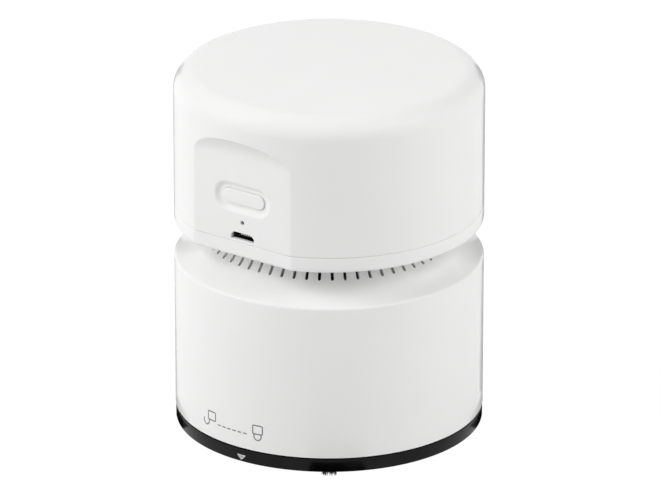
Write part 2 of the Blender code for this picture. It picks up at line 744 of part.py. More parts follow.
def vent_cutters():
    """Narrow radial slots all round the neck, each within one side of the drum."""
    low, high = vent_floor(), Z_COVE - VENT_CAP
    inner = NECK_BORE - WALL
    size = Vector((VENT_WIDTH, VENT_FOOT_RADIUS - inner, high - low))
    middle = Vector((0, -(VENT_FOOT_RADIUS + inner) / 2, (low + high) / 2))
    bm = bmesh.new()
    for vent in range(VENT_COUNT):
        turn = Matrix.Rotation(VENT_AZIMUTH - PANEL_AZIMUTH + math.tau * vent / VENT_COUNT, 4, "Z")
        place = turn @ Matrix.Translation(middle) @ Matrix.Diagonal((*size, 1))
        bmesh.ops.create_cube(bm, size=1, matrix=place)
    return helper("vent_cutters", closed_mesh("vent_cutters", bm))


def bayonet_catches():
    """Inward catches that the base's lugs turn over, each with a stop at its locked end."""
    inner, outer = DRUM_BORE - LUG_REACH, DRUM_BORE + SINK
    low, high = Z_CATCH, Z_CATCH + LUG_HEIGHT
    pieces = []
    for catch in range(LUG_COUNT):
        middle = CATCH_AZIMUTH - PANEL_AZIMUTH + math.tau * catch / LUG_COUNT
        end = middle + LUG_ANGLE / 2 + STOP_SLACK_ANGLE
        span = LUG_ANGLE + 2 * (STOP_SLACK_ANGLE + STOP_ANGLE)
        pieces.append(sector("catch", inner, outer, middle, span, low, high, LUG_STEPS))
        stop = sector(
            "stop", inner, outer, end + STOP_ANGLE / 2, STOP_ANGLE, high - SINK, Z_LUG + LUG_HEIGHT, 1
        )
        join(pieces[-1], stop)
    return merged("bayonet_catches", pieces)


def base_ring():
    """Gloss black ring with a spigot inside the drum, bayonet lugs and a ledge for the suction plate."""
    foot = arc((RING_RADIUS - RING_EDGE, Z_RING + RING_EDGE), RING_EDGE, 0, -90, 1)
    shoulder = arc((RING_RADIUS - RING_EDGE, Z_RING_TOP - RING_EDGE), RING_EDGE, 90, 0, 2)
    profile = [(SPIGOT_RADIUS, Z_SPIGOT), (SPIGOT_RADIUS, Z_RING_TOP), *shoulder, *foot]
    profile += [(POCKET_RADIUS, Z_RING), (POCKET_RADIUS, Z_LEDGE), (LEDGE_BORE, Z_LEDGE)]
    profile += [(LEDGE_BORE, Z_LEDGE_TOP), (SPIGOT_BORE, Z_LEDGE_TOP), (SPIGOT_BORE, Z_SPIGOT)]
    ring = revolve("base_ring", profile)
    lugs = [
        sector(
            "lug",
            SPIGOT_RADIUS - SINK,
            SPIGOT_RADIUS + LUG_REACH,
            LUG_AZIMUTH - PANEL_AZIMUTH + math.tau * lug / LUG_COUNT,
            LUG_ANGLE,
            Z_LUG,
            Z_LUG + LUG_HEIGHT,
            LUG_STEPS,
        )
        for lug in range(LUG_COUNT)
    ]
    top = Z_PLATE + SCREW_RECESS + SCREW_LENGTH + SCREW_HEAD + GAP
    bosses = [
        rod("boss", BOSS_RADIUS, Z_LEDGE + SINK, top, SMALL_SIDES, place) for place in plate_screw_places()
    ]
    join(ring, merged("bayonet_lugs", lugs), merged("plate_bosses", bosses))
    bores = [
        rod("boss_bore", SCREW_BORE, Z_LEDGE - OVERRUN, top + OVERRUN, SCREW_SIDES, place)
        for place in plate_screw_places()
    ]
    cut(ring, merged("ring_bores", bores))
    return part(ring, GLOSS_BLACK, BASE)


def suction_plate():
    """Matt black underside: the star-shaped mouth, grooves for the brushes and posts for the pads."""
    plate = revolve(
        "suction_plate",
        [
            (0, Z_PLATE_TOP),
            (PLATE_RADIUS, Z_PLATE_TOP),
            (PLATE_RADIUS, Z_PLATE + PLATE_CHAMFER),
            (PLATE_RADIUS - PLATE_CHAMFER, Z_PLATE),
            (0, Z_PLATE),
        ],
        MEDIUM_SIDES,
    )
    posts = [
        rod(
            "post",
            PAD_RADIUS + PAD_MARGIN + PAD_DRAFT,
            PAD_HEIGHT + GAP,
            Z_PLATE + SINK,
            SMALL_SIDES,
            place,
            PAD_RADIUS + PAD_MARGIN,
        )
        for place in pad_places()
    ]
    join(plate, merged("pad_posts", posts))
    grooves = []
    for row in range(len(BRUSH_NAMES)):
        half = BRUSH_WIDTH / 2 + GAP
        outer = BRUSH_OUTER + GAP
        inner = BRUSH_INNER - GAP
        groove = block(
            "groove", (-half, -outer, Z_PLATE - OVERRUN), (half, -inner, Z_PLATE + BRUSH_BACKING + GAP)
        )
        groove.matrix_basis = brush_turn(row)
        grooves.append(groove)
    cut(plate, mouth_cutter(), merged("brush_grooves", grooves))
    sinks = []
    for place in plate_screw_places():
        z_head = Z_PLATE + SCREW_RECESS + SCREW_HEAD + GAP
        sinks.append(rod("sink", SCREW_HEAD_RADIUS + GAP, Z_PLATE - OVERRUN, z_head, SMALL_SIDES, place))
    cut(plate, merged("head_sinks", sinks))
    bores = [
        rod("bore", SCREW_BORE, Z_PLATE - OVERRUN, Z_PLATE_TOP + OVERRUN, SCREW_SIDES, place)
        for place in plate_screw_places()
    ]
    cut(plate, merged("plate_bores", bores))
    return part(plate, MATT_BLACK, BASE)


def brush_turn(row):
    """Rotation that takes the panel's direction to a brush row: the first row faces the front."""
    return Matrix.Rotation(math.tau * row / len(BRUSH_NAMES) - PANEL_AZIMUTH, 4, "Z")


def pad_places():
    return around(PAD_CIRCLE, PAD_AZIMUTH, PAD_COUNT)


def mouth_cutter():
    """Round mouth with four lobes that reach out between the brush rows."""
    low, high = Z_PLATE - OVERRUN, Z_PLATE_TOP + OVERRUN
    mouth = rod("mouth", MOUTH_RADIUS, low, high, INNER_SIDES)
    for pair in range(LOBE_PAIRS):
        outline = pill(2 * LOBE_REACH, LOBE_WIDTH, 0, 4)
        lobe = prism("lobe", outline, low, high)
        turn = LOBE_AZIMUTH + math.pi * pair / LOBE_PAIRS - PANEL_AZIMUTH
        lobe.matrix_basis = Matrix.Rotation(turn, 4, "Z")
        join(mouth, lobe)
    return mouth


def intake_duct():
    """Funnel over the mouth that narrows to a chimney, so that dust can't fall back out."""
    z0 = Z_PLATE_TOP + GAP
    z1 = z0 + DUCT_WALL
    z2 = z1 + FUNNEL_HEIGHT
    z3 = Z_FILTER - CHIMNEY_ROOM
    foot = LOBE_REACH + DUCT_CLEARANCE + DUCT_WALL
    neck = CHIMNEY_RADIUS
    middle = ((foot + neck) / 2 - DUCT_WALL, (z1 + z2) / 2 - DUCT_WALL)
    outside = [(neck, z3), (neck, z2), middle, (foot, z1), (foot + DUCT_FLANGE, z1), (foot + DUCT_FLANGE, z0)]
    inside = [(foot - DUCT_WALL, z0), (foot - DUCT_WALL, z0 + DUCT_WALL / 2)]
    inside += [(middle[0] - DUCT_WALL, middle[1] - DUCT_WALL / 2)]
    inside += [(neck - DUCT_WALL, z2 - DUCT_WALL / 2), (neck - DUCT_WALL, z3)]
    return part(revolve("intake_duct", outside + inside, INNER_SIDES), MATT_BLACK, BASE)


def base_seal():
    """Soft ring in the corner between the base's spigot and the drum."""
    outer, inner = DRUM_BORE - GAP, SPIGOT_RADIUS + GAP
    low = Z_DRUM
    profile = [(outer, low + SEAL_HEIGHT), (outer - GAP, low), (inner, low), (inner, low + SEAL_HEIGHT)]
    return part(revolve("base_seal", profile, MEDIUM_SIDES), RUBBER, BASE)


def brushes():
    """Four rows of bristles, each strand drawn out of the row's own backing strip."""
    made = []
    for row, name in enumerate(BRUSH_NAMES):
        bm = bmesh.new()
        bmesh.ops.create_grid(bm, x_segments=BRISTLE_ROWS, y_segments=BRISTLE_COLUMNS, size=1 / 2)
        size = Matrix.Diagonal((BRUSH_WIDTH, BRUSH_OUTER - BRUSH_INNER, 1, 1))
        place = Matrix.Translation((0, -(BRUSH_OUTER + BRUSH_INNER) / 2, Z_PLATE))
        bmesh.ops.transform(bm, matrix=place @ size, verts=bm.verts)
        bmesh.ops.triangulate(bm, faces=bm.faces)
        roots = list(bm.faces)
        rim = [edge for edge in bm.edges if edge.is_boundary]
        raised = bmesh.ops.extrude_edge_only(bm, edges=rim)["geom"]
        top_edges = [item for item in raised if isinstance(item, bmesh.types.BMEdge) and item.is_boundary]
        top = [item for item in raised if isinstance(item, bmesh.types.BMVert)]
        bmesh.ops.translate(bm, vec=(0, 0, BRUSH_BACKING), verts=top)
        bmesh.ops.contextual_create(bm, geom=top_edges)
        for number, root in enumerate(roots):
            draw_strand(bm, root, number)
        strip = helper(name, closed_mesh(name, bm))
        strip.data.transform(brush_turn(row))
        made.append(part(strip, NYLON, BASE))
    return made


def draw_strand(bm, root, number):
    """One three-sided tapered bristle: its root is drawn in and its tip pulled down and fanned outwards."""
    bmesh.ops.inset_individual(bm, faces=[root], thickness=0)
    middle = root.calc_center_median()
    for vert in root.verts:
        vert.co = middle + (vert.co - middle) * BRISTLE_ROOT_SHARE
    length = Z_PLATE - BRISTLE_TIP - BRISTLE_UNEVEN * (1 + math.sin(BRISTLE_SPREAD * number)) / 2
    fan = BRISTLE_FAN * middle.x / (BRUSH_WIDTH / 2)
    tip = bmesh.ops.poke(bm, faces=[root])["verts"][0]
    tip.co += Vector((fan, 0, -length))


def glide_pads():
    """Low-friction pads that the vacuum slides on."""
    profile = [(0, PAD_HEIGHT), (PAD_RADIUS, PAD_HEIGHT), (PAD_RADIUS, PAD_EDGE)]
    profile += [(PAD_RADIUS - PAD_EDGE, 0), (0, 0)]
    made = []
    for number, place in enumerate(pad_places(), 1):
        pad = revolve(f"glide_pad_{number}", profile, SMALL_SIDES)
        pad.data.transform(Matrix.Translation((*place, 0)))
        made.append(part(pad, FELT, BASE))
    return made


def screw_profile(direction, head_face):
    """Pan-head screw from its head's outer face; direction is +1 where the shank points up."""
    head = head_face + direction * SCREW_HEAD
    tip = head + direction * SCREW_LENGTH
    floor = head_face + direction * SCREW_SOCKET
    points = [(0, floor), (SCREW_RADIUS / 2, floor), (SCREW_RADIUS, head_face)]
    points += [(SCREW_HEAD_RADIUS, head_face), (SCREW_HEAD_RADIUS, head), (SCREW_RADIUS, head)]
    points += [(SCREW_RADIUS, tip - direction * SCREW_RADIUS), (0, tip)]
    return points if direction < 0 else points[::-1]


def screws():
    """Three screws hold the lower housing to the frame, and four hold the suction plate."""
    kinds = (
        ("housing_screw", neck_screw_places(), -1, Z_FLOOR + GAP + SCREW_HEAD, WHOLE),
        ("plate_screw", plate_screw_places(), 1, Z_PLATE + SCREW_RECESS, BASE),
    )
    for name, places, direction, head_face, carrier in kinds:
        for number, place in enumerate(places, 1):
            screw = revolve(f"{name}_{number}", screw_profile(direction, head_face), SCREW_SIDES)
            screw.data.transform(Matrix.Translation((*place, 0)))
            part(screw, STEEL, carrier)


def fan_shroud():
    """Plate under the fan, with a rounded inlet eye that stands up into the blades."""
    z_top = Z_SHROUD + SHROUD_THICKNESS
    eye = EYE_RADIUS - SHROUD_THICKNESS
    profile = [(EYE_RADIUS, z_top + EYE_LIP), (EYE_RADIUS + GAP, z_top), (SHROUD_RADIUS, z_top)]
    profile += [(SHROUD_RADIUS, Z_SHROUD), (EYE_RADIUS + SHROUD_THICKNESS, Z_SHROUD)]
    profile += [(eye, z_top), (eye, z_top + EYE_LIP)]
    return part(revolve("fan_shroud", profile, INNER_SIDES), MATT_BLACK)


def filter_frame():
    """Moulded cage that hangs from its flange and holds the filter cloth."""
    z_top, low = Z_FLANGE + FILTER_FLANGE, Z_FILTER
    bore = FILTER_TOP_RADIUS - FILTER_WALL
    profile = [(SHROUD_RADIUS, z_top), (SHROUD_RADIUS, Z_FLANGE), (FILTER_TOP_RADIUS, Z_FLANGE)]
    profile += [(FILTER_FOOT_RADIUS, low), (0, low), (0, low + FILTER_FLOOR)]
    profile += [(FILTER_FOOT_RADIUS - FILTER_WALL, low + FILTER_FLOOR), (bore, z_top)]
    frame = revolve_ring("filter_frame", profile, INNER_SIDES)
    height = FILTER_DEPTH - 2 * FILTER_WINDOW_MARGIN
    width = FILTER_WINDOW_SHARE * math.tau * FILTER_FOOT_RADIUS / FILTER_WINDOWS
    windows = []
    for window in range(FILTER_WINDOWS):
        opening = block(
            "window",
            (-width / 2, -FILTER_TOP_RADIUS - OVERRUN, low + FILTER_WINDOW_MARGIN),
            (width / 2, -FILTER_FOOT_RADIUS + 2 * FILTER_WALL, low + FILTER_WINDOW_MARGIN + height),
        )
        opening.matrix_basis = Matrix.Rotation(math.tau * window / FILTER_WINDOWS, 4, "Z")
        windows.append(opening)
    cut(frame, merged("filter_windows", windows))
    return part(frame, GREY_PLASTIC)


def revolve_ring(name, profile, sides):
    """Turned solid whose profile touches the axis somewhere inside its run."""
    first = next(number for number, point in enumerate(profile) if point[0] == 0)
    return revolve(name, profile[first + 1 :] + profile[: first + 1], sides)


def filter_media():
    """Filter cloth, a thin cup inside the cage."""
    low = Z_FILTER + FILTER_FLOOR + GAP
    z_top = Z_FLANGE + FILTER_FLANGE
    top = FILTER_TOP_RADIUS - FILTER_WALL - GAP
    foot = FILTER_FOOT_RADIUS - FILTER_WALL - GAP
    profile = [(top, z_top), (foot, low), (0, low), (0, low + MEDIA_THICKNESS)]
    profile += [(foot - MEDIA_THICKNESS, low + MEDIA_THICKNESS), (top - MEDIA_THICKNESS, z_top)]
    return part(revolve_ring("filter_media", profile, INNER_SIDES), CLOTH)


def filter_seal():
    seal = tube(
        "filter_seal",
        SHROUD_RADIUS,
        SHROUD_RADIUS - SEAL_WIDTH,
        Z_FILTER_SEAL,
        Z_FILTER_SEAL + SEAL_THICKNESS,
        INNER_SIDES,
    )
    return part(seal, RUBBER)


def impeller():
    """Centrifugal fan: a back plate and hub with swept blades below."""
    z_plate = Z_IMPELLER_TOP - IMPELLER_PLATE
    low = z_plate - BLADE_HEIGHT
    bore = SHAFT_RADIUS + SHAFT_FIT
    profile = [(IMPELLER_RADIUS, Z_IMPELLER_TOP), (IMPELLER_RADIUS, z_plate), (IMPELLER_HUB, z_plate)]
    profile += [(IMPELLER_HUB, low), (bore, low), (bore, Z_IMPELLER_TOP)]
    fan = revolve("impeller", profile, INNER_SIDES)
    blades = [blade(math.tau * number / BLADE_COUNT, low, z_plate + SINK) for number in range(BLADE_COUNT)]
    join(fan, merged("impeller_blades", blades))
    return part(fan, GREY_PLASTIC, ROTOR)


def blade(start, low, high):
    """Backward-swept blade: the two faces of a curved centre line."""
    outer = IMPELLER_RADIUS - BLADE_THICKNESS / 2
    front, back = [], []
    for step in range(BLADE_STEPS + 1):
        share = step / BLADE_STEPS
        radius = BLADE_INNER + (outer - BLADE_INNER) * share
        angle = start + BLADE_SWEEP * share
        spread = BLADE_THICKNESS / 2 / radius
        front.append(polar(radius, angle + spread))
        back.append(polar(radius, angle - spread))
    return prism("blade", front + back[::-1], low, high)


def motor():
    """Brushed motor: can, magnet ring, end cap, armature and shaft."""
    bottom = Z_MOTOR
    can = [(MOTOR_RADIUS, Z_MOTOR_TOP), (MOTOR_RADIUS, bottom), (MOTOR_BOSS_RADIUS, bottom)]
    can += [(MOTOR_BOSS_RADIUS, bottom - MOTOR_BOSS), (SHAFT_BORE, bottom - MOTOR_BOSS)]
    inner = MOTOR_RADIUS - MOTOR_WALL
    can += [(SHAFT_BORE, bottom + MOTOR_WALL), (inner, bottom + MOTOR_WALL), (inner, Z_MOTOR_TOP)]
    part(revolve("motor_can", can, INNER_SIDES), STEEL)
    cap = inner - GAP
    z_cap = Z_MOTOR_TOP - END_CAP
    lid = [(MOTOR_BOSS_RADIUS, Z_MOTOR_TOP + MOTOR_BOSS), (MOTOR_BOSS_RADIUS, Z_MOTOR_TOP)]
    lid += [(cap, Z_MOTOR_TOP), (cap, z_cap), (SHAFT_BORE, z_cap), (SHAFT_BORE, Z_MOTOR_TOP + MOTOR_BOSS)]
    part(revolve("motor_end_cap", lid, INNER_SIDES), MATT_BLACK)
    low, high = bottom + MOTOR_WALL + GAP, z_cap - GAP
    magnet = tube("motor_magnet", cap, cap - MAGNET_WALL, low, high, INNER_SIDES)
    part(magnet, FERRITE)
    core_radius = cap - MAGNET_WALL - AIR_GAP
    core = prism("motor_armature", armature_outline(core_radius), low + AIR_GAP, high - AIR_GAP)
    bore = disc("armature_bore", SHAFT_RADIUS + SHAFT_FIT, low - OVERRUN, high + OVERRUN, SMALL_SIDES)
    part(cut(core, bore), COPPER, ROTOR)
    low = Z_IMPELLER_TOP - IMPELLER_PLATE - BLADE_HEIGHT
    shaft = disc("motor_shaft", SHAFT_RADIUS, low, Z_MOTOR_TOP + MOTOR_BOSS, SMALL_SIDES)
    part(shaft, STEEL, ROTOR)
    damper = tube(
        "motor_damper",
        MOTOR_RADIUS + GAP + DAMPER_WALL,
        MOTOR_RADIUS + GAP,
        Z_MOTOR,
        Z_MOTOR + DAMPER_HEIGHT,
        INNER_SIDES,
    )
    part(damper, RUBBER)


def armature_outline(radius):
    """Three-pole core: wide pole faces on narrower stems."""
    outline = []
    for pole in range(POLE_COUNT):
        middle = math.tau * pole / POLE_COUNT
        stem = math.tau / POLE_COUNT * POLE_STEM_SHARE / 2
        outline.append(polar(radius * POLE_STEM_SHARE, middle - stem))
        outline.append(polar(radius * POLE_NECK_SHARE, middle - stem / 2))
        for step in range(5):
            outline.append(polar(radius, middle - POLE_SPAN / 2 + POLE_SPAN * step / 4))
        outline.append(polar(radius * POLE_NECK_SHARE, middle + stem / 2))
        outline.append(polar(radius * POLE_STEM_SHARE, middle + stem))
    return outline


def battery():
    """Cylindrical cell across the upper drum, in a tray on the frame's four posts."""
    half = BATTERY_LENGTH / 2
    edge = BATTERY_EDGE
    cell = [(0, half + BATTERY_NUB), (BATTERY_NUB_RADIUS, half + BATTERY_NUB), (BATTERY_NUB_RADIUS, half)]
    cell += [(BATTERY_RADIUS - edge, half), (BATTERY_RADIUS, half - edge)]
    cell += [(BATTERY_RADIUS, edge - half), (BATTERY_RADIUS - edge, -half), (0, -half)]
    lie_down = Matrix.Translation((0, 0, Z_BATTERY)) @ Matrix.Rotation(math.radians(90), 4, "Y")
    body = revolve("battery_cell", cell, INNER_SIDES)
    body.data.transform(lie_down)
    part(body, CELL_BLUE)
    tray = block(
        "battery_tray",
        (-(POST_X + TRAY_OVERHANG), -(POST_Y + TRAY_OVERHANG), Z_TRAY),
        (POST_X + TRAY_OVERHANG, POST_Y + TRAY_OVERHANG, Z_TRAY + TRAY_THICKNESS),
    )
    for side in (-1, 1):
        x = side * SADDLE_X
        saddle = block(
            "saddle",
            (x - SADDLE_THICKNESS / 2, -SADDLE_WIDTH / 2, Z_TRAY + TRAY_THICKNESS - SINK),
            (x + SADDLE_THICKNESS / 2, SADDLE_WIDTH / 2, Z_TRAY + TRAY_THICKNESS + SADDLE_HEIGHT),
        )
        join(tray, saddle)
    bed = disc("cell_bed", BATTERY_RADIUS + GAP, -half, half, INNER_SIDES)
    bed.data.transform(lie_down)
    cut(tray, bed)
    part(tray, GREY_PLASTIC)
    ends = {"battery_tab_plus": half + BATTERY_NUB + GAP, "battery_tab_minus": -half - GAP - TAB_THICKNESS}
    for name, x in ends.items():
        low = (x, -TAB_WIDTH / 2, Z_BATTERY - BATTERY_RADIUS)
        high = (x + TAB_THICKNESS, TAB_WIDTH / 2, Z_BATTERY + TAB_WIDTH / 2)
        part(block(name, low, high), STEEL)


def control_board():
    """Board behind the panel with its chips and the status light."""
    half = BOARD_LENGTH / 2
    low = Z_FLOOR + GAP
    high = low + BOARD_HEIGHT
    outline = [(-half, low), (half, low), (half, high - BOARD_NOTCH), (half - BOARD_NOTCH, high)]
    outline += [(BOARD_NOTCH - half, high), (-half, high - BOARD_NOTCH)]
    back = D_BOARD + BOARD_THICKNESS
    board = panel_loft("control_board", [(D_BOARD, outline), (back, outline)])
    for side_share, height_share, size_share in CHIP_SHARES:
        x = BOARD_LENGTH * side_share
        z = low + BOARD_HEIGHT * height_share
        reach = CHIP_SIDE * size_share / 2
        chip = block(
            "chip",
            (x - reach, back - SINK - PANEL_Y, z - reach),
            (x + reach, back + CHIP_HEIGHT - PANEL_Y, z + reach),
        )
        join(board, chip)
    light = block(
        "status_light",
        (-LED_SIDE / 2, D_BOARD - LED_HEIGHT - PANEL_Y, Z_LED - LED_SIDE / 2),
        (LED_SIDE / 2, D_BOARD + SINK - PANEL_Y, Z_LED + LED_SIDE / 2),
    )
    join(board, light)
    part(board, BOARD_GREEN)
    pipe = round_outline(LIGHT_PIPE_RADIUS, Z_LED, SCREW_SIDES)
    pipe_end = D_BOARD - LED_HEIGHT - GAP
    part(panel_loft("led_light_pipe", [(D_FLANGE, pipe), (pipe_end, pipe)]), CLEAR)


def usb_socket():
    """Charging socket: a folded metal shell round a contact tongue."""
    back = D_BOARD - GAP
    outer = usb_outline(USB_SHELL_WALL)
    shell = panel_loft("usb_shell", [(D_FLANGE, outer), (back, outer)])
    ends = (D_FLANGE - OVERRUN, back - USB_SHELL_WALL)
    room = panel_loft("usb_room", [(depth, usb_outline()) for depth in ends])
    part(cut(shell, room), STEEL)
    low = Z_USB + USB_HEIGHT / 2 - GAP - TONGUE_HEIGHT
    tongue = block(
        "usb_tongue",
        (-TONGUE_LENGTH / 2, D_FLANGE + GAP - PANEL_Y, low),
        (TONGUE_LENGTH / 2, back - USB_SHELL_WALL - GAP - PANEL_Y, low + TONGUE_HEIGHT),
    )
    part(tongue, DARK_PLASTIC)


def button_and_switch():
    """Button with its retaining flange, and the tact switch that it presses."""
    origin = (0, -PANEL_Y, Z_BUTTON)
    face = pill(BUTTON_LENGTH - 2 * BUTTON_EDGE, BUTTON_WIDTH - 2 * BUTTON_EDGE, Z_BUTTON)
    body = pill(BUTTON_LENGTH, BUTTON_WIDTH, Z_BUTTON)
    flange = pill(
        BUTTON_LENGTH + 2 * BUTTON_FLANGE_REACH, BUTTON_WIDTH + 2 * BUTTON_FLANGE_REACH, Z_BUTTON
    )
    sections = [(BUTTON_SUNK, face), (BUTTON_SUNK + BUTTON_EDGE, body), (D_FLANGE, body)]
    sections += [(D_FLANGE, flange), (D_BUTTON_BACK, flange)]
    button = panel_loft("power_button", sections)
    part(button, SATIN_WHITE, BUTTON, origin)
    plunger = round_outline(PLUNGER_RADIUS, Z_BUTTON, SMALL_SIDES)
    plunger_end = D_SWITCH + PLUNGER_SEAT
    pin = panel_loft("switch_plunger", [(D_PLUNGER, plunger), (plunger_end, plunger)])
    part(pin, DARK_PLASTIC, BUTTON, origin)
    half = SWITCH_SIDE / 2
    switch = block(
        "tact_switch",
        (-half, D_SWITCH - PANEL_Y, Z_BUTTON - half),
        (half, D_SWITCH + SWITCH_DEPTH - PANEL_Y, Z_BUTTON + half),
    )
    bore = round_outline(PLUNGER_RADIUS + GAP, Z_BUTTON, SMALL_SIDES)
    bore_end = plunger_end + BUTTON_TRAVEL + GAP
    part(cut(switch, panel_loft("plunger_bore", [(D_SWITCH - OVERRUN, bore), (bore_end, bore)])), GREY_METAL)


clear_scene()
PARTS = new_collection("desktop_mini_vacuum")
HELPERS = new_collection("cutters")
HELPERS.hide_render = True
WHOLE = new_empty("vacuum", turn=PANEL_AZIMUTH)
BASE = new_empty("base_axis", WHOLE)
ROTOR = new_empty("rotor_axis", WHOLE)
BUTTON = new_empty("button_axis", WHOLE, (0, -PANEL_Y, Z_BUTTON))

SATIN_WHITE = surface("satin_white_plastic", WHITE, 0.35)
GLOSS_BLACK = surface("gloss_black_plastic", BLACK, 0.15)
MATT_BLACK = surface("matt_black_plastic", DARK, 0.55)
DARK_PLASTIC = surface("dark_plastic", DARK, 0.45)
GREY_PLASTIC = surface("grey_plastic", GREY, 0.5)
RUBBER = surface("rubber", DARK, 0.8)
NYLON = surface("black_nylon", DARK, 0.4)
FELT = surface("grey_felt", GREY, 0.95)
CLOTH = surface("filter_cloth", WHITE, 0.95)
STEEL = surface("steel", (0.62, 0.62, 0.61), 0.28, 1.0)
GREY_METAL = surface("plated_steel", (0.5, 0.5, 0.5), 0.35, 1.0)
COPPER = surface("wound_core", (0.55, 0.25, 0.1), 0.4, 1.0)
FERRITE = surface("ferrite", (0.05, 0.05, 0.055), 0.7)
CELL_BLUE = surface("cell_sleeve", (0.03, 0.12, 0.4), 0.35)
BOARD_GREEN = surface("board_green", (0.02, 0.16, 0.06), 0.4)
CLEAR = surface("clear_plastic", (0.9, 0.92, 0.95), 0.1, 0.0, 0.4)

top_cover()
mid_frame()
lower_housing()
base_ring()
suction_plate()
intake_duct()
base_seal()
brushes()
glide_pads()
screws()
fan_shroud()
filter_frame()
filter_media()
filter_seal()
impeller()
motor()
battery()
control_board()
usb_socket()
button_and_switch()
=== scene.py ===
# %% [markdown]
# # A desktop mini vacuum cleaner
# This lesson dresses a small vacuum for desk crumbs: two white drums with a slotted waist, and a black base
# that twists off. The working model is loaded first and never moved. It says where everything is, so every
# shell, bristle and printed line below is placed from its measures.

# %% Load the working model
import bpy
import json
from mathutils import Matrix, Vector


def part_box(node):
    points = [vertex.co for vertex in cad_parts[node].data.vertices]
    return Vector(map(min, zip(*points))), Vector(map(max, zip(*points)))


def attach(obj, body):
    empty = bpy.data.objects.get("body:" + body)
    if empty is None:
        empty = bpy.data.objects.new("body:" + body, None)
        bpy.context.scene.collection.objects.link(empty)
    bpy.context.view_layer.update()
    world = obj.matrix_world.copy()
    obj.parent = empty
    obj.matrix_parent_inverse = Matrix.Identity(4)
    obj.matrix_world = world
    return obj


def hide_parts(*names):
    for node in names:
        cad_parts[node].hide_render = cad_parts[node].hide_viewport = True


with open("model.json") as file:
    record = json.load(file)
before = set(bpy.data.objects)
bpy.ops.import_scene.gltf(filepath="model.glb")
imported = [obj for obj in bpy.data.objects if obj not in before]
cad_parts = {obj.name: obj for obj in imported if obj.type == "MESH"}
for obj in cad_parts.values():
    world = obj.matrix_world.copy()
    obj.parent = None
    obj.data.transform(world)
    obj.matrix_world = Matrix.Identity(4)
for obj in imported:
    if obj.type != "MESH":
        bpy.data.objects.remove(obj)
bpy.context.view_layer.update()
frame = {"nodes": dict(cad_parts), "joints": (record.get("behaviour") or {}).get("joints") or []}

# %% [markdown]
# Blender measures in metres, but a maker thinks in millimetres, so sizes are written as a number times MM.

# %% Tools and units
import json
import math
import random

import bmesh
import bpy
from mathutils import Matrix, Vector

MM = 0.001

# %% [markdown]
# The drums, the seam and the base are read from the boxes of the model's own nodes. The control panel faces
# the way that its button comes out, so the button's joint gives the turn of everything on the panel.

# %% Places read from the model
cover_low, cover_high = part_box("top_cover")
housing_low, housing_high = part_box("lower_housing")
ring_low, ring_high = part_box("base_ring")
plate_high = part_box("suction_plate")[1]
filter_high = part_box("filter_frame")[1]

press = next(Vector(joint["axis"]) for joint in frame["joints"] if joint["name"] == "button_press")
PANEL_TURN = math.atan2(-press.x, press.y)
TURN = Matrix.Rotation(PANEL_TURN, 4, "Z")

DRUM = (cover_high.x - cover_low.x) / 2
RING = (ring_high.x - ring_low.x) / 2
Z_TOP, Z_SEAM = cover_high.z, cover_low.z
Z_NECK, Z_DRUM = housing_high.z, housing_low.z
Z_RING = ring_low.z
print("drum radius", round(DRUM / MM, 2), "mm, panel turned", round(math.degrees(PANEL_TURN), 2), "degrees")

# %% [markdown]
# ## Camera
# The photograph was taken with a long lens from a little above. A long lens keeps the drum's sides nearly
# parallel, so the camera stands 1.7 m away and looks down at an angle that opens the rim's ellipse just as
# far.

# %% Camera
CAMERA_DISTANCE = 1.740
CAMERA_DROP = math.radians(21.88)
LENS = 386.4  # millimetres, on a 36 mm wide sensor
AIM = Vector((0.2 * MM, 0, 47.6 * MM))

camera_data = bpy.data.cameras.new("camera")
camera_data.lens = LENS
camera = bpy.data.objects.new("camera", camera_data)
camera.location = AIM + CAMERA_DISTANCE * Vector((0, -math.cos(CAMERA_DROP), math.sin(CAMERA_DROP)))
camera.rotation_euler = (math.pi / 2 - CAMERA_DROP, 0, 0)
bpy.context.scene.collection.objects.link(camera)
bpy.context.scene.camera = camera
bpy.context.scene.view_settings.view_transform = "Standard"
print("camera at", [round(value, 3) for value in camera.location])

# %% [markdown]
# ## Shader maths
# A finish is easier to read as arithmetic than as a net of nodes. Signal wraps one output socket, so that an
# expression on it, such as 1 - mask, adds the Math nodes by itself. Finish holds a material, and its one
# node() method adds any other node: its type, its settings and the values or links of its sockets.

# %% A socket that does arithmetic
class Signal:
    """One output socket. Arithmetic on it adds Math nodes."""

    def __init__(self, finish, socket):
        self.finish = finish
        self.socket = socket

    def maths(self, operation, first, second):
        return self.finish.node("ShaderNodeMath", {"operation": operation}, {0: first, 1: second})

    def __add__(self, other):
        return self.maths("ADD", self, other)

    def __sub__(self, other):
        return self.maths("SUBTRACT", self, other)

    def __rsub__(self, other):
        return self.maths("SUBTRACT", other, self)

    def __mul__(self, other):
        return self.maths("MULTIPLY", self, other)

    __radd__ = __add__
    __rmul__ = __mul__


# %% A material under construction
class Finish:
    """A material built round one Principled shader."""

    def __init__(self, name, **constants):
        self.material = bpy.data.materials.new(name)
        self.material.use_nodes = True
        self.tree = self.material.node_tree
        self.shader = self.tree.nodes["Principled BSDF"]
        for words, value in constants.items():
            self.shader.inputs[words.replace("_", " ").title()].default_value = value

    def node(self, kind, settings=None, sockets=None, output=0):
        """Adds a node and returns one of its outputs."""
        made = self.tree.nodes.new(kind)
        for key, value in (settings or {}).items():
            if key == "stops":
                set_stops(made.color_ramp, value)
            else:
                setattr(made, key, value)
        for key, value in (sockets or {}).items():
            socket = pick(made.inputs, key)
            if isinstance(value, Signal):
                self.tree.links.new(value.socket, socket)
            else:
                socket.default_value = value
        return Signal(self, pick(made.outputs, output))

    def feed(self, socket, signal):
        self.tree.links.new(signal.socket, self.shader.inputs[socket])


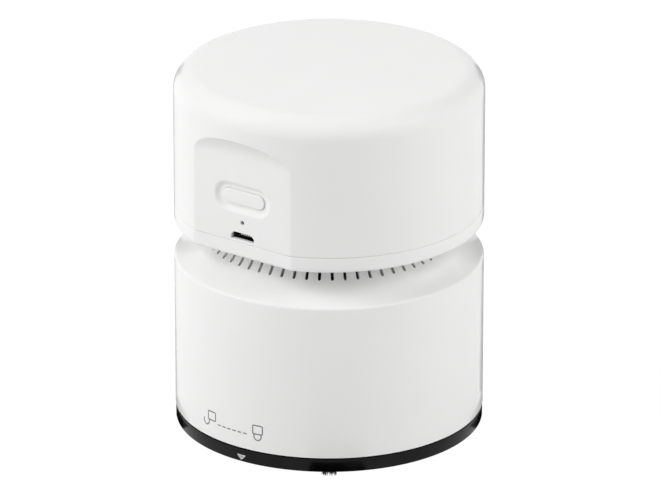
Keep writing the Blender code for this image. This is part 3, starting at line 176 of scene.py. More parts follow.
def pick(sockets, key):
    """A socket by its number, or the one in use among those of one name."""
    if isinstance(key, int):
        return sockets[key]
    return next(socket for socket in sockets if socket.name == key and socket.enabled)


def set_stops(ramp, stops):
    """A ramp's (position, grey level) stops."""
    while len(ramp.elements) < len(stops):
        ramp.elements.new(1)
    for element, (position, level) in zip(ramp.elements, stops):
        element.position = position
        element.color = (level, level, level, 1)


print("shader helpers ready")

# %% [markdown]
# Almost every surface here needs the same few things: a place in millimetres, a grain of some size, a
# colour that drifts between two near shades, and a bump. They are functions on a Finish, so that each
# material below says only what makes it different.

# %% Grain, drift and bump
def place_mm(finish):
    """Position on the piece, in millimetres."""
    place = finish.node("ShaderNodeTexCoord", output="Object")
    return finish.node("ShaderNodeVectorMath", {"operation": "SCALE"}, {0: place, "Scale": 1 / MM})


def grain(finish, size, detail=2.0, stretch=(1, 1, 1)):
    """Noise from 0 to 1 whose blobs are about this many millimetres across."""
    place = finish.node("ShaderNodeVectorMath", {"operation": "MULTIPLY"}, {0: place_mm(finish), 1: stretch})
    return finish.node("ShaderNodeTexNoise", sockets={"Vector": place, "Scale": 1 / size, "Detail": detail})


def blend_colours(finish, share, first, second):
    sockets = {"Factor": share, "A": (*first, 1), "B": (*second, 1)}
    return finish.node("ShaderNodeMix", {"data_type": "RGBA"}, sockets, "Result")


def steps(finish, signal, stops):
    """A signal through a ramp of (position, level) stops."""
    return finish.node("ShaderNodeValToRGB", {"stops": stops}, {0: signal})


def bump(finish, height, depth, strength=1.0):
    """Feeds a bump whose full height is depth millimetres."""
    sockets = {"Strength": strength, "Distance": depth * MM, "Height": height}
    finish.feed("Normal", finish.node("ShaderNodeBump", sockets=sockets))


def shade(colour, factor):
    return tuple(channel * factor for channel in colour)


# %% [markdown]
# ## Plastics
# The white shells are moulded in satin plastic: a fine spark-eroded texture that scatters the highlight,
# over a slow drift where the plastic cooled and hands have polished it. Noise at two sizes gives both. Matt
# and grey plastics are the same recipe with a coarser grain, so one function makes them all.

# %% Moulded plastics
def moulded(name, colour, roughness, texture, depth, drift=0.015, gloss_drift=0.05):
    """Injection-moulded plastic: texture is the grain's size and depth its relief, both in millimetres."""
    finish = Finish(name, metallic=0.0)
    slow = grain(finish, 14.0)
    fine = grain(finish, texture)
    finish.feed("Base Color", blend_colours(finish, slow, shade(colour, 1 - drift), shade(colour, 1 + drift)))
    finish.feed("Roughness", roughness + gloss_drift * (slow - 0.5) + gloss_drift * (fine - 0.5))
    bump(finish, fine, depth)
    return finish.material


WHITE = (0.85, 0.85, 0.845)
satin_white = moulded("satin_white", WHITE, 0.42, 0.3, 0.006)
# the mould's polished skin is a thin coat, which mirrors the black cards near the drums' outline
satin_skin = satin_white.node_tree.nodes["Principled BSDF"]
satin_skin.inputs["Coat Weight"].default_value = 0.5
satin_skin.inputs["Coat Roughness"].default_value = 0.1
matt_black = moulded("matt_black", (0.022, 0.022, 0.024), 0.55, 0.35, 0.02, 0.1)
grey_plastic = moulded("grey_plastic", (0.42, 0.43, 0.44), 0.5, 0.4, 0.012, 0.03)
switch_black = moulded("switch_black", (0.018, 0.018, 0.02), 0.4, 0.25, 0.008, 0.1)
print("plastics:", satin_white.name, matt_black.name, grey_plastic.name, switch_black.name)

# %% [markdown]
# The base ring is polished black. Polish never hides a faint waviness, called orange peel, or the smears of
# the fingers that twist it, so roughness follows a mask of soft smudges and the bump is long and very
# shallow.

# %% Gloss black ring
def polished_black():
    finish = Finish("gloss_black", metallic=0.0)
    finish.shader.inputs["Specular IOR Level"].default_value = 0.16
    smudges = steps(finish, grain(finish, 7.0, 4.0), ((0.45, 0.0), (0.7, 1.0)))
    finish.feed("Base Color", blend_colours(finish, smudges, (0.002, 0.002, 0.0022), (0.005, 0.005, 0.0053)))
    finish.feed("Roughness", 0.16 + 0.12 * smudges)
    bump(finish, grain(finish, 3.0, 1.0), 0.006)
    return finish.material


gloss_black = polished_black()
print("ring finish:", gloss_black.name)

# %% [markdown]
# ## Soft and fibrous finishes
# Rubber is dull with a dusty bloom. Felt and filter cloth are mats of fibres: noise that is stretched along
# one way and crossed with the same noise along another looks like threads that lie at random. Nylon
# bristles are drawn smooth, so they are glossier than the plate, with a streak along each hair.

# %% Rubber, nylon, felt and cloth
def rubber():
    finish = Finish("black_rubber", metallic=0.0)
    bloom = grain(finish, 4.0, 5.0)
    finish.feed("Base Color", blend_colours(finish, bloom, (0.02, 0.02, 0.021), (0.035, 0.035, 0.036)))
    finish.feed("Roughness", 0.72 + 0.16 * bloom)
    bump(finish, grain(finish, 0.5), 0.03)
    return finish.material


def nylon():
    finish = Finish("black_nylon", metallic=0.0)
    streak = grain(finish, 0.12, 1.0, (1, 1, 0.08))
    finish.feed("Base Color", blend_colours(finish, streak, (0.008, 0.008, 0.009), (0.03, 0.03, 0.032)))
    finish.feed("Roughness", 0.3 + 0.2 * streak)
    bump(finish, streak, 0.01)
    return finish.material


def fibres(name, dark, light, size, depth):
    """Mat of crossing fibres, each size millimetres thick."""
    finish = Finish(name, metallic=0.0, roughness=0.95)
    along = grain(finish, size, 3.0, (0.12, 1, 1))
    across = grain(finish, size, 3.0, (1, 0.12, 1))
    mat = steps(finish, 0.5 * along + 0.5 * across, ((0.35, 0.0), (0.65, 1.0)))
    finish.feed("Base Color", blend_colours(finish, mat, dark, light))
    bump(finish, mat, depth)
    return finish.material


black_rubber = rubber()
black_nylon = nylon()
grey_felt = fibres("grey_felt", (0.24, 0.245, 0.25), (0.5, 0.51, 0.52), 0.12, 0.05)
filter_cloth = fibres("filter_cloth", (0.62, 0.62, 0.6), (0.88, 0.88, 0.86), 0.09, 0.04)
print("soft finishes:", black_rubber.name, black_nylon.name, grey_felt.name, filter_cloth.name)

# %% [markdown]
# ## Metals and the works inside
# Nobody sees the motor until the shells come off, but a part that is reused may well be opened. Each metal
# gets the marks of how it was made: drawn steel is streaked along its drawing, wound copper shows its turns
# as fine bands, and a plated screw is bright with small scratches.

# %% Steel, copper and ferrite
def drawn_steel(name, colour, roughness, stretch=(1, 1, 0.05)):
    finish = Finish(name, metallic=1.0)
    streak = grain(finish, 0.25, 4.0, stretch)
    finish.feed("Base Color", blend_colours(finish, streak, shade(colour, 0.88), shade(colour, 1.06)))
    finish.feed("Roughness", roughness + 0.18 * (streak - 0.5))
    bump(finish, streak, 0.006)
    return finish.material


def wound_copper():
    finish = Finish("wound_copper", metallic=1.0)
    sockets = {"Vector": place_mm(finish), "Scale": 1.6}
    turns = finish.node("ShaderNodeTexWave", {"bands_direction": "Z"}, sockets, "Fac")
    finish.feed("Base Color", blend_colours(finish, turns, (0.16, 0.05, 0.02), (0.72, 0.32, 0.14)))
    finish.feed("Roughness", 0.5 - 0.2 * turns)
    bump(finish, turns, 0.15)
    return finish.material


def sintered():
    finish = Finish("ferrite", metallic=0.0)
    crystals = finish.node("ShaderNodeTexVoronoi", sockets={"Vector": place_mm(finish), "Scale": 5.0})
    finish.feed("Base Color", blend_colours(finish, crystals, (0.03, 0.03, 0.034), (0.075, 0.075, 0.08)))
    finish.feed("Roughness", 0.6 + 0.25 * crystals)
    bump(finish, crystals, 0.02)
    return finish.material


plated_steel = drawn_steel("plated_steel", (0.6, 0.6, 0.58), 0.3)
socket_steel = drawn_steel("socket_steel", (0.45, 0.45, 0.45), 0.34, (0.05, 1, 1))
bright_contact = drawn_steel("bright_contact", (0.9, 0.84, 0.74), 0.4, (1, 0.05, 1))
copper_coil = wound_copper()
ferrite = sintered()
print("metals:", plated_steel.name, socket_steel.name, bright_contact.name, copper_coil.name, ferrite.name)

# %% [markdown]
# The cell wears a shrunk blue sleeve, glossy and slightly puckered. The board is green solder mask over
# copper tracks: a brick pattern of thin lines, a shade lighter than the mask, reads as tracks at this size.
# The light guide is coloured near-black, which is painted shade for the deep pinhole, so the pinhole looks
# dark until the light behind it is on.

# %% Cell sleeve, board and light guide
def shrunk_sleeve():
    finish = Finish("cell_sleeve", metallic=0.0)
    pucker = grain(finish, 2.2, 3.0, (0.3, 1, 1))
    finish.feed("Base Color", blend_colours(finish, pucker, (0.02, 0.09, 0.34), (0.04, 0.15, 0.46)))
    finish.feed("Roughness", 0.24 + 0.16 * pucker)
    bump(finish, pucker, 0.08)
    return finish.material


def solder_mask():
    finish = Finish("board_green", metallic=0.0)
    settings = {"offset": 0.37, "squash": 1.4}
    sockets = {"Vector": place_mm(finish), "Scale": 0.7, "Mortar Size": 0.05}
    tracks = finish.node("ShaderNodeTexBrick", settings, sockets, "Fac")
    finish.feed("Base Color", blend_colours(finish, tracks, (0.015, 0.12, 0.045), (0.03, 0.26, 0.09)))
    finish.feed("Roughness", 0.36 + 0.1 * tracks)
    bump(finish, tracks, 0.035)
    return finish.material


def painted_shade_guide():
    finish = Finish("painted_shade_guide", metallic=0.0, transmission_weight=0.5)
    tone_noise = grain(finish, 1.2, 3.0)
    # near-black colour: painted shade that keeps the pinhole dark
    finish.feed("Base Color", blend_colours(finish, tone_noise, (0.02, 0.02, 0.022), (0.05, 0.05, 0.055)))
    finish.feed("Roughness", 0.15 + 0.2 * tone_noise)
    return finish.material


cell_sleeve = shrunk_sleeve()
board_green = solder_mask()
light_guide = painted_shade_guide()
print("works:", cell_sleeve.name, board_green.name, light_guide.name)

# %% [markdown]
# The padlocks, their dashes and the ring's pointer are pad-printed: a thin film of ink that is never quite
# even.

# %% Printing inks
def ink(name, colour):
    finish = Finish(name, metallic=0.0)
    cover = grain(finish, 0.16, 3.0)
    finish.feed("Base Color", blend_colours(finish, cover, shade(colour, 0.9), shade(colour, 1.1)))
    finish.feed("Roughness", 0.45 + 0.15 * cover)
    return finish.material


grey_ink = ink("grey_ink", (0.16, 0.16, 0.165))
pale_ink = ink("pale_ink", (0.6, 0.62, 0.65))
silver_ink = ink("silver_ink", (0.34, 0.36, 0.39))
print("inks:", grey_ink.name, pale_ink.name, silver_ink.name)

# %% [markdown]
# ## Making meshes
# Nearly everything here was turned, moulded or punched. A turned skin is a section carried round the axis,
# a loft joins outlines of equal count, and a Boolean cuts openings. The three below make clean closed
# skins, and the panel's own shape comes later as a small move of each point.

# %% Turned skins
def finished(bm, name):
    bmesh.ops.recalc_face_normals(bm, faces=bm.faces)
    mesh = bpy.data.meshes.new(name)
    bm.to_mesh(mesh)
    bm.free()
    return mesh


def even_angles(sides):
    return [math.tau * side / sides for side in range(sides)]


def lathe(name, section, angles, reshape=None):
    """Closed skin of a section turned about the upright axis.

    The section's points start with a radius and a height. Angles count from the panel's direction, -Y,
    towards +X. A point at radius 0 is shared by all angles. reshape may move a point by its row's values.
    """
    bm = bmesh.new()
    columns = [[] for _ in angles]
    for radius, height, *more in section:
        pole = bm.verts.new((0, 0, height)) if radius == 0 else None
        for column, angle in zip(columns, angles):
            place = Vector((radius * math.sin(angle), -radius * math.cos(angle), height))
            if reshape and not pole:
                place = reshape(place, *more)
            column.append(pole or bm.verts.new(place))
    rows = list(range(len(section)))
    pairs = list(zip(rows, rows[1:]))
    if section[0][0] > 0:
        pairs.append((rows[-1], 0))
    for column, following in zip(columns, columns[1:] + columns[:1]):
        for upper, lower in pairs:
            corners = dict.fromkeys((column[upper], column[lower], following[lower], following[upper]))
            bm.faces.new(list(corners))
    return finished(bm, name)


def arc(centre, radius, start, end, count):
    """Points along an arc between two angles in degrees."""
    angles = [math.radians(start + (end - start) * step / count) for step in range(count + 1)]
    return [(centre[0] + radius * math.cos(angle), centre[1] + radius * math.sin(angle)) for angle in angles]


# %% Lofts and blocks
def skin(bm, loops, closed=False):
    """Faces between loops of as many points each, capped at both ends or joined end to end."""
    pairs = list(zip(loops, loops[1:])) + ([(loops[-1], loops[0])] if closed else [])
    for near, far in pairs:
        for side, corner in enumerate(near):
            following = (side + 1) % len(near)
            bm.faces.new((corner, near[following], far[following], far[side]))
    if not closed:
        bm.faces.new(loops[0])
        bm.faces.new(loops[-1])


def loft(name, rings):
    """Closed skin over rings of as many points each, with both ends capped."""
    bm = bmesh.new()
    skin(bm, [[bm.verts.new(point) for point in ring] for ring in rings])
    return finished(bm, name)


def prism(name, outline, low, high):
    return loft(name, [[(x, y, z) for x, y in outline] for z in (low, high)])


def block(name, low, high):
    bm = bmesh.new()
    size = Vector(high) - Vector(low)
    middle = (Vector(high) + Vector(low)) / 2
    bmesh.ops.create_cube(bm, size=1, matrix=Matrix.Translation(middle) @ Matrix.Diagonal((*size, 1)))
    return finished(bm, name)


def polar(radius, angle):
    return (radius * math.sin(angle), -radius * math.cos(angle))


def circle(radius, place, sides=32):
    """Points of a circle about a place."""
    points = [polar(radius, angle) for angle in even_angles(sides)]
    return [(place[0] + x, place[1] + y) for x, y in points]


# %% [markdown]
# Blender's Manifold solver cuts closed skins quickly and cleanly. Several tools that don't touch each other
# go in as one mesh, so sixty slots cost one cut.

# %% Cutting and joining
def gather(name, meshes, turns=None):
    """One mesh out of several, each with its own turn."""
    bm = bmesh.new()
    for number, mesh in enumerate(meshes):
        if turns:
            mesh.transform(turns[number])
        bm.from_mesh(mesh)
        bpy.data.meshes.remove(mesh)
    return finished(bm, name)


def round_prisms(name, radius, low, high, places, sides=32):
    """One mesh of equal round rods, one at each place."""
    return gather(name, [prism(name, circle(radius, place, sides), low, high) for place in places])


def boolean(mesh, tool, operation):
    body = bpy.data.objects.new("body", mesh)
    other = bpy.data.objects.new("tool", tool)
    for obj in (body, other):
        bpy.context.scene.collection.objects.link(obj)
    step = body.modifiers.new("cut", "BOOLEAN")
    step.operation = operation
    step.solver = "MANIFOLD"
    step.object = other
    bpy.context.view_layer.update()
    graph = bpy.context.evaluated_depsgraph_get()
    result = bpy.data.meshes.new_from_object(body.evaluated_get(graph))
    for obj in (body, other):
        bpy.data.objects.remove(obj)
    bpy.data.meshes.remove(mesh)
    bpy.data.meshes.remove(tool)
    return result


def cut(mesh, *tools):
    for tool in tools:
        mesh = boolean(mesh, tool, "DIFFERENCE")
    return mesh


def join(mesh, *tools):
    for tool in tools:
        mesh = boolean(mesh, tool, "UNION")
    return mesh


# %% [markdown]
# A finished mesh becomes a piece: it gets its material, rides on the body that carries it, and hides the
# plain nodes it stands for. Everything on the panel is drawn facing -Y and turned here, so no shape needs
# to know that the panel sits to one side.

# %% Pieces
def piece(name, mesh, body, material, stands_for=(), turned=True, sharp=40):
    """Adds a mesh to the object; sharp is the angle in degrees from which an edge stays crisp."""
    if turned:
        mesh.transform(TURN)
    mesh.name = name
    mesh.materials.clear()
    mesh.materials.append(material)
    mesh.shade_smooth()
    mesh.set_sharp_from_angle(angle=math.radians(sharp))
    made = bpy.data.objects.new(name, mesh)
    bpy.context.scene.collection.objects.link(made)
    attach(made, body)
    if stands_for:
        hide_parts(*stands_for)
    print(name, len(mesh.polygons), "faces")
    return made


# %% [markdown]
# ## The panel's shape
# The panel is a flat pressed into the drum, ended at the top by a cove that rolls out to the round wall,
# with a shallow pill-shaped dish round the button. Cutting these with Booleans would leave knife edges.
# Moulds have small radii, so each point of the turned skin is pushed back to the panel by a smooth maximum
# instead, which rounds every crease by the same small amount.

# %% Panel sizes
WALL = 2.0 * MM
GAP = 0.3 * MM
PANEL_DEPTH = 2.93 * MM
PANEL_Y = DRUM - PANEL_DEPTH
PANEL_EDGE = math.sqrt(DRUM**2 - PANEL_Y**2)
PANEL_HEIGHT = 22.0 * MM
COVE_RADIUS = 5.8 * MM
COVE_SAG = 1.35 * MM  # how much lower the cove starts at the flat's edges than in its middle
COVE_RISE = math.sqrt(COVE_RADIUS**2 - (COVE_RADIUS - PANEL_DEPTH) ** 2)
CREASE = 0.15 * MM  # how softly the panel meets the round wall
INNER_DEPTH = WALL + GAP
D_BOARD = 7.5 * MM  # the control board's face, counted from the panel's face
D_BACK = D_BOARD - GAP

button_low, button_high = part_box("power_button")
pipe_low, pipe_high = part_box("led_light_pipe")
port_low, port_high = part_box("usb_shell")
Z_BUTTON = (button_low.z + button_high.z) / 2
Z_LED = (pipe_low.z + pipe_high.z) / 2
Z_USB = (port_low.z + port_high.z) / 2
Z_COVE = Z_SEAM + PANEL_HEIGHT

BUTTON_LENGTH = 12.6 * MM
BUTTON_WIDTH = 3.7 * MM
DISH_MARGIN = 2.2 * MM
DISH_FLOOR_MARGIN = 0.7 * MM
DISH_DEPTH = 0.8 * MM
print("button, port and cove at", [round(height / MM, 2) for height in (Z_BUTTON, Z_USB, Z_COVE)], "mm")


# %% Pressing the panel in
def soft_max(first, second, blend):
    """The larger of two values, with the corner between them rounded over blend."""
    nearness = max(blend - abs(first - second), 0) / blend
    return max(first, second) + nearness * nearness * blend / 4


def pill_distance(x, z, length, width):
    """Distance from the edge of a lying pill about the origin, negative inside."""
    return math.hypot(max(abs(x) - (length - width) / 2, 0), z) - width / 2


def dish(x, z):
    """How deep the button's dish is at a place on the panel."""
    width = DISH_MARGIN - DISH_FLOOR_MARGIN
    out = pill_distance(x, z - Z_BUTTON, BUTTON_LENGTH + 2 * DISH_MARGIN, BUTTON_WIDTH + 2 * DISH_MARGIN)
    share = min(max(-out / width, 0), 1)
    return DISH_DEPTH * share * share * (3 - 2 * share)


def cove_start(x):
    """Height where the flat turns into the cove: an arch that is lower towards the flat's edges."""
    return Z_COVE - COVE_SAG * (x / PANEL_EDGE) ** 2


def pressed(place, inset, outside):
    """A skin point pushed back to the panel's face; inset is how far inside the skin it lies."""
    front = PANEL_Y - inset
    rise = place.z - cove_start(place.x)
    if outside and rise >= COVE_RADIUS:
        return place
    if outside and rise > 0:
        front += COVE_RADIUS - math.sqrt(COVE_RADIUS**2 - rise**2)
    depth = soft_max(place.y, -front, CREASE)
    if outside and place.y < -front:
        depth += dish(place.x, place.z)
    return Vector((place.x, depth, place.z))


# %% [markdown]
# The skin needs points where the shape turns and few elsewhere. graded() walks through stretches, each with
# its own step, and serves both the heights of the rows and the angles of the columns.

# %% Rows and columns
def graded(start, *stretches):
    """Values from start through (end, step) stretches, without the last end."""
    values = []
    for end, step in stretches:
        count = max(1, round(abs(end - start) / step))
        values += [start + (end - start) * number / count for number in range(count)]
        start = end
    return values


PANEL_HALF = math.radians(25.5)
ROUND_STEP = math.radians(1.5)
PANEL_STEP = math.radians(0.34)
panel_angles = graded(-math.pi, (-PANEL_HALF, ROUND_STEP), (PANEL_HALF, PANEL_STEP), (math.pi, ROUND_STEP))
round_angles = even_angles(240)
print(len(panel_angles), "columns round the cover")

# %% [markdown]
# ## Top cover
# A 2 mm shell with a rounded top edge. Its section runs over the top, down the wall, round the small edge
# at the seam and back up inside. The openings are cut last, with tools whose mouths flare a little, because
# a moulded hole has a softened edge as well.

# %% Openings in the panel
EDGE = 0.12 * MM
TOP_FILLET = 5.5 * MM
OVERRUN = 3.0 * MM
SLIT = 0.06 * MM  # the fine line that shows between two shells


def pill(length, width, centre_z, count=16):
    reach = (length - width) / 2
    right = arc((reach, centre_z), width / 2, -90, 90, count)
    return right + arc((-reach, centre_z), width / 2, 90, 270, count)


def panel_loft(name, sections):
    """Solid that stands square to the panel, from (depth, outline) pairs of (x, z) outlines."""
    return loft(name, [[(x, depth - PANEL_Y, z) for x, z in outline] for depth, outline in sections])


def flared(name, outline, face, edge, depth):
    """Cutter that narrows over its first edge below the face; outline takes a margin."""
    sections = [(-OVERRUN, outline(edge)), (face, outline(edge))]
    for step in (30, 60, 90):
        turn = math.radians(step)
        sections.append((face + edge * math.sin(turn), outline(edge * (1 - math.sin(turn)) / 2)))
    return panel_loft(name, sections[:-1] + [(face + edge, outline(0)), (depth, outline(0))])


USB_LENGTH = 6.9 * MM
USB_HEIGHT = 1.85 * MM
USB_CHAMFER = 0.85 * MM
USB_WALL = 1.1 * MM  # the cover is thinner round the port, so that a plug's body fits
LED_RADIUS = 0.55 * MM


def usb_outline(margin=0.0):
    """Micro socket mouth: wide below, with its two upper corners cut off."""
    half = USB_LENGTH / 2 + margin
    low, high = Z_USB - USB_HEIGHT / 2 - margin, Z_USB + USB_HEIGHT / 2 + margin
    right = [(half, low), (half, high - USB_CHAMFER), (half - USB_CHAMFER, high)]
    return right + [(-x, z) for x, z in reversed(right)]


def button_outline(margin=0.0):
    """The opening is a hair longer at the right, where the cap's slit shows."""
    outline = pill(BUTTON_LENGTH + 2 * (SLIT + margin), BUTTON_WIDTH + 2 * (SLIT + margin), Z_BUTTON)
    return [(x + SLIT if x > 0 else x, z) for x, z in outline]


def led_outline(margin=0.0):
    return arc((0, Z_LED), LED_RADIUS + margin, 0, 345, 23)


# %% Top cover
TOP_RADII = (5, 10, 15, 20, 25, 29)  # millimetres
# steps between the wall's rows: plain, through the cove, on the flat and through the dish
WALL_STEP = 0.5 * MM
COVE_STEP = 0.11 * MM
FLAT_STEP = 0.4 * MM
DISH_STEP = 0.17 * MM
COVE_MARGIN = 0.3 * MM


def cover_section():
    """(radius, height, inset, outside) rows, over the top and down, then up the inside."""
    top = [(0, Z_TOP)] + [(radius * MM, Z_TOP) for radius in TOP_RADII]
    fillet = arc((DRUM - TOP_FILLET, Z_TOP - TOP_FILLET), TOP_FILLET, 90, 0, 14)
    dish_half = BUTTON_WIDTH / 2 + DISH_MARGIN
    heights = graded(
        Z_TOP - TOP_FILLET - FLAT_STEP,
        (Z_COVE + COVE_RISE + COVE_MARGIN, WALL_STEP),
        (Z_COVE - COVE_SAG - COVE_MARGIN, COVE_STEP),
        (Z_BUTTON + dish_half, FLAT_STEP),
        (Z_BUTTON - dish_half, DISH_STEP),
        (Z_SEAM + EDGE, WALL_STEP),
    )
    wall = [(DRUM, height) for height in heights]
    lip = arc((DRUM - EDGE, Z_SEAM + EDGE), EDGE, 0, -90, 4)
    outside = [(radius, height, DRUM - radius, True) for radius, height in top + fillet + wall + lip]
    bore, ceiling = DRUM - WALL, Z_TOP - WALL
    inner_fillet = arc((DRUM - TOP_FILLET, Z_TOP - TOP_FILLET), TOP_FILLET - WALL, 0, 90, 6)
    inside = [(bore, Z_SEAM), (bore, Z_USB), (bore, Z_BUTTON), (bore, Z_COVE), *inner_fillet, (0, ceiling)]
    return outside + [(radius, height, bore - radius + WALL, False) for radius, height in inside]


def top_cover():
    shell = lathe("top_cover", cover_section(), panel_angles, pressed)
    thinned = block(
        "port_room",
        (-(USB_LENGTH / 2 + WALL), USB_WALL - PANEL_Y, Z_SEAM - OVERRUN),
        (USB_LENGTH / 2 + WALL, OVERRUN - PANEL_Y, Z_USB + USB_HEIGHT / 2 + WALL),
    )
    return cut(
        shell,
        thinned,
        flared("button_hole", button_outline, DISH_DEPTH, SLIT / 2, WALL + OVERRUN),
        flared("led_hole", led_outline, 0, EDGE / 2, WALL + OVERRUN),
        flared("usb_hole", usb_outline, 0, EDGE, WALL + OVERRUN),
    )


piece("cover_shell", top_cover(), "housing", satin_white, ["top_cover"])

# %% [markdown]
# ## Button
# The button is a pill with a soft crown. Rings of the same pill, each drawn in a little further, give the
# crown, the rounded edge, the straight flank and the flange that keeps it in the cover.

# %% Power button
BUTTON_SUNK = 0.4 * MM
BUTTON_EDGE = 0.3 * MM
BUTTON_CROWN = 0.08 * MM
CROWN_SHARES = (0.97, 0.8, 0.6, 0.4)  # how far in the crown's rings lie
FLANGE = 1.0 * MM
FLANGE_REACH = 1.1 * MM


def power_button():
    def ring(depth, inset):
        return depth, pill(BUTTON_LENGTH - 2 * inset, BUTTON_WIDTH - 2 * inset, Z_BUTTON)

    half = BUTTON_WIDTH / 2
    sections = []
    for share in CROWN_SHARES:
        sections.append(ring(BUTTON_SUNK + BUTTON_CROWN * (1 - share) ** 2, half * share))
    for x, y in arc((BUTTON_EDGE, BUTTON_EDGE), BUTTON_EDGE, 270, 180, 6):
        sections.append(ring(BUTTON_SUNK + BUTTON_CROWN / 2 + y, x))
    sections += [ring(INNER_DEPTH, 0), ring(INNER_DEPTH, -FLANGE_REACH)]
    sections.append(ring(INNER_DEPTH + FLANGE, -FLANGE_REACH))
    return panel_loft("power_button", sections)


piece("button_cap", power_button(), "button", satin_white, ["power_button"])

# %% [markdown]
# ## Charging port
# Behind the opening sits a folded steel shell with a black tongue. The five contacts are plated strips
# along the tongue, and they are what glints in the dark mouth.

# %% Charging port
PORT_SHEET = 0.3 * MM
TONGUE_LENGTH = 3.7 * MM
TONGUE_HEIGHT = 0.6 * MM
CONTACT_COUNT = 5
CONTACT_PITCH = 0.65 * MM
CONTACT_WIDTH = 0.26 * MM
CONTACT_HEIGHT = 0.3 * MM
CONTACT_PROUD = 0.05 * MM


def port_shell():
    front, back = USB_WALL + SLIT, D_BACK - PORT_SHEET
    outer = panel_loft("port", [(front, usb_outline(PORT_SHEET)), (D_BACK, usb_outline(PORT_SHEET))])
    room = panel_loft("room", [(front - OVERRUN, usb_outline()), (back, usb_outline())])
    return cut(outer, room)


TONGUE_DROP = 0.3 * MM  # brings it to the middle of the mouth, where the contacts glint
Z_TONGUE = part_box("usb_tongue")[0].z - TONGUE_DROP
TONGUE_BACKSET = 0.5 * MM
TONGUE_FRONT = USB_WALL + TONGUE_BACKSET
TONGUE_BACK = D_BACK - PORT_SHEET - GAP
TONGUE_EDGE = 0.12 * MM


def tongue():
    """Black bar with a chamfered nose."""
    sections = []
    for depth, margin in ((TONGUE_FRONT, -TONGUE_EDGE), (TONGUE_FRONT + TONGUE_EDGE, 0), (TONGUE_BACK, 0)):
        half, low, high = TONGUE_LENGTH / 2 + margin, Z_TONGUE - margin, Z_TONGUE + TONGUE_HEIGHT + margin
        sections.append((depth, [(-half, low), (half, low), (half, high), (-half, high)]))
    return panel_loft("tongue", sections)


def contacts():
    strips = []
    for number in range(CONTACT_COUNT):
        x = (number - (CONTACT_COUNT - 1) / 2) * CONTACT_PITCH
        middle = Z_TONGUE + TONGUE_HEIGHT / 2
        low = (x - CONTACT_WIDTH / 2, TONGUE_FRONT - PANEL_Y - CONTACT_PROUD, middle - CONTACT_HEIGHT / 2)
        high = (x + CONTACT_WIDTH / 2, TONGUE_BACK - PANEL_Y, middle + CONTACT_HEIGHT / 2)
        strips.append(block("contact", low, high))
    return gather("contacts", strips)


piece("port_shell", port_shell(), "housing", socket_steel, ["usb_shell"])
piece("port_tongue", tongue(), "housing", switch_black, ["usb_tongue"])
piece("port_contacts", contacts(), "housing", bright_contact)

# %% [markdown]
# ## Status light
# The light guide is a stepped pin. Its thin end stands in the pinhole, a little below the face, and its
# thick end sits behind the wall over the light on the board.

# %% Light guide
PIN_DEPTH = 0.7 * MM
PIN_RADIUS = 0.5 * MM
GUIDE_RADIUS = 1.1 * MM
LIGHT_HEIGHT = 1.1 * MM  # room for the light on the board
GUIDE_BACK = D_BOARD - LIGHT_HEIGHT


def light_guide_pin():
    sections = [(PIN_DEPTH, PIN_RADIUS), (INNER_DEPTH, PIN_RADIUS)]
    sections += [(INNER_DEPTH, GUIDE_RADIUS), (GUIDE_BACK, GUIDE_RADIUS)]
    return panel_loft("guide", [(depth, arc((0, Z_LED), radius, 0, 345, 23)) for depth, radius in sections])


piece("light_guide", light_guide_pin(), "housing", light_guide, ["led_light_pipe"])

# %% [markdown]
# ## Middle frame
# The short skirt under the seam belongs to the inner frame, which also carries the motor. Its turned
# section has the skirt outside, the wall that centres the cover above it, and the floor. What stands on the
# floor is joined to it, and the screws' room is cut out.

# %% Middle frame sizes
SKIRT_HEIGHT = 3.7 * MM
SKIRT_FILLET = 1.1 * MM
SKIRT_EDGE = 0.2 * MM
FLOOR = 2.0 * MM
LOCATOR_WALL = 1.5 * MM
LOCATOR_HEIGHT = 3.5 * MM
Z_SKIRT = Z_SEAM - GAP - SKIRT_HEIGHT
Z_SKIRT_TOP = Z_SEAM - SLIT
Z_FLOOR = Z_SKIRT + FLOOR
LOCATOR = DRUM - WALL - GAP
SHAFT_HOLE = 3.4 * MM
CRADLE_BORE = 14.0 * MM
CRADLE_WALL = 1.4 * MM
CRADLE_HEIGHT = 7.0 * MM
POST_RADIUS = 2.4 * MM
POST_X = 16.5 * MM
POST_Y = 12.0 * MM
SINK = 0.4 * MM
NECK_BORE = 26.3 * MM
RIB_WALL = 1.4 * MM
RIB_DEPTH = 0.9 * MM
BOSS_RADIUS = 2.3 * MM
BOSS_CIRCLE = 25.6 * MM
BOSS_ANGLES = [math.radians(turn) for turn in (90, 180, 270)]
SCREW_BORE = 1.3 * MM
boss_places = [polar(BOSS_CIRCLE, angle) for angle in BOSS_ANGLES]
tray_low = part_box("battery_tray")[0]
print("skirt from", round(Z_SKIRT / MM, 2), "to", round(Z_SKIRT_TOP / MM, 2))


# %% Middle frame
def tube(name, outer, inner, low, high, sides=96):
    return lathe(name, [(outer, high), (outer, low), (inner, low), (inner, high)], even_angles(sides))


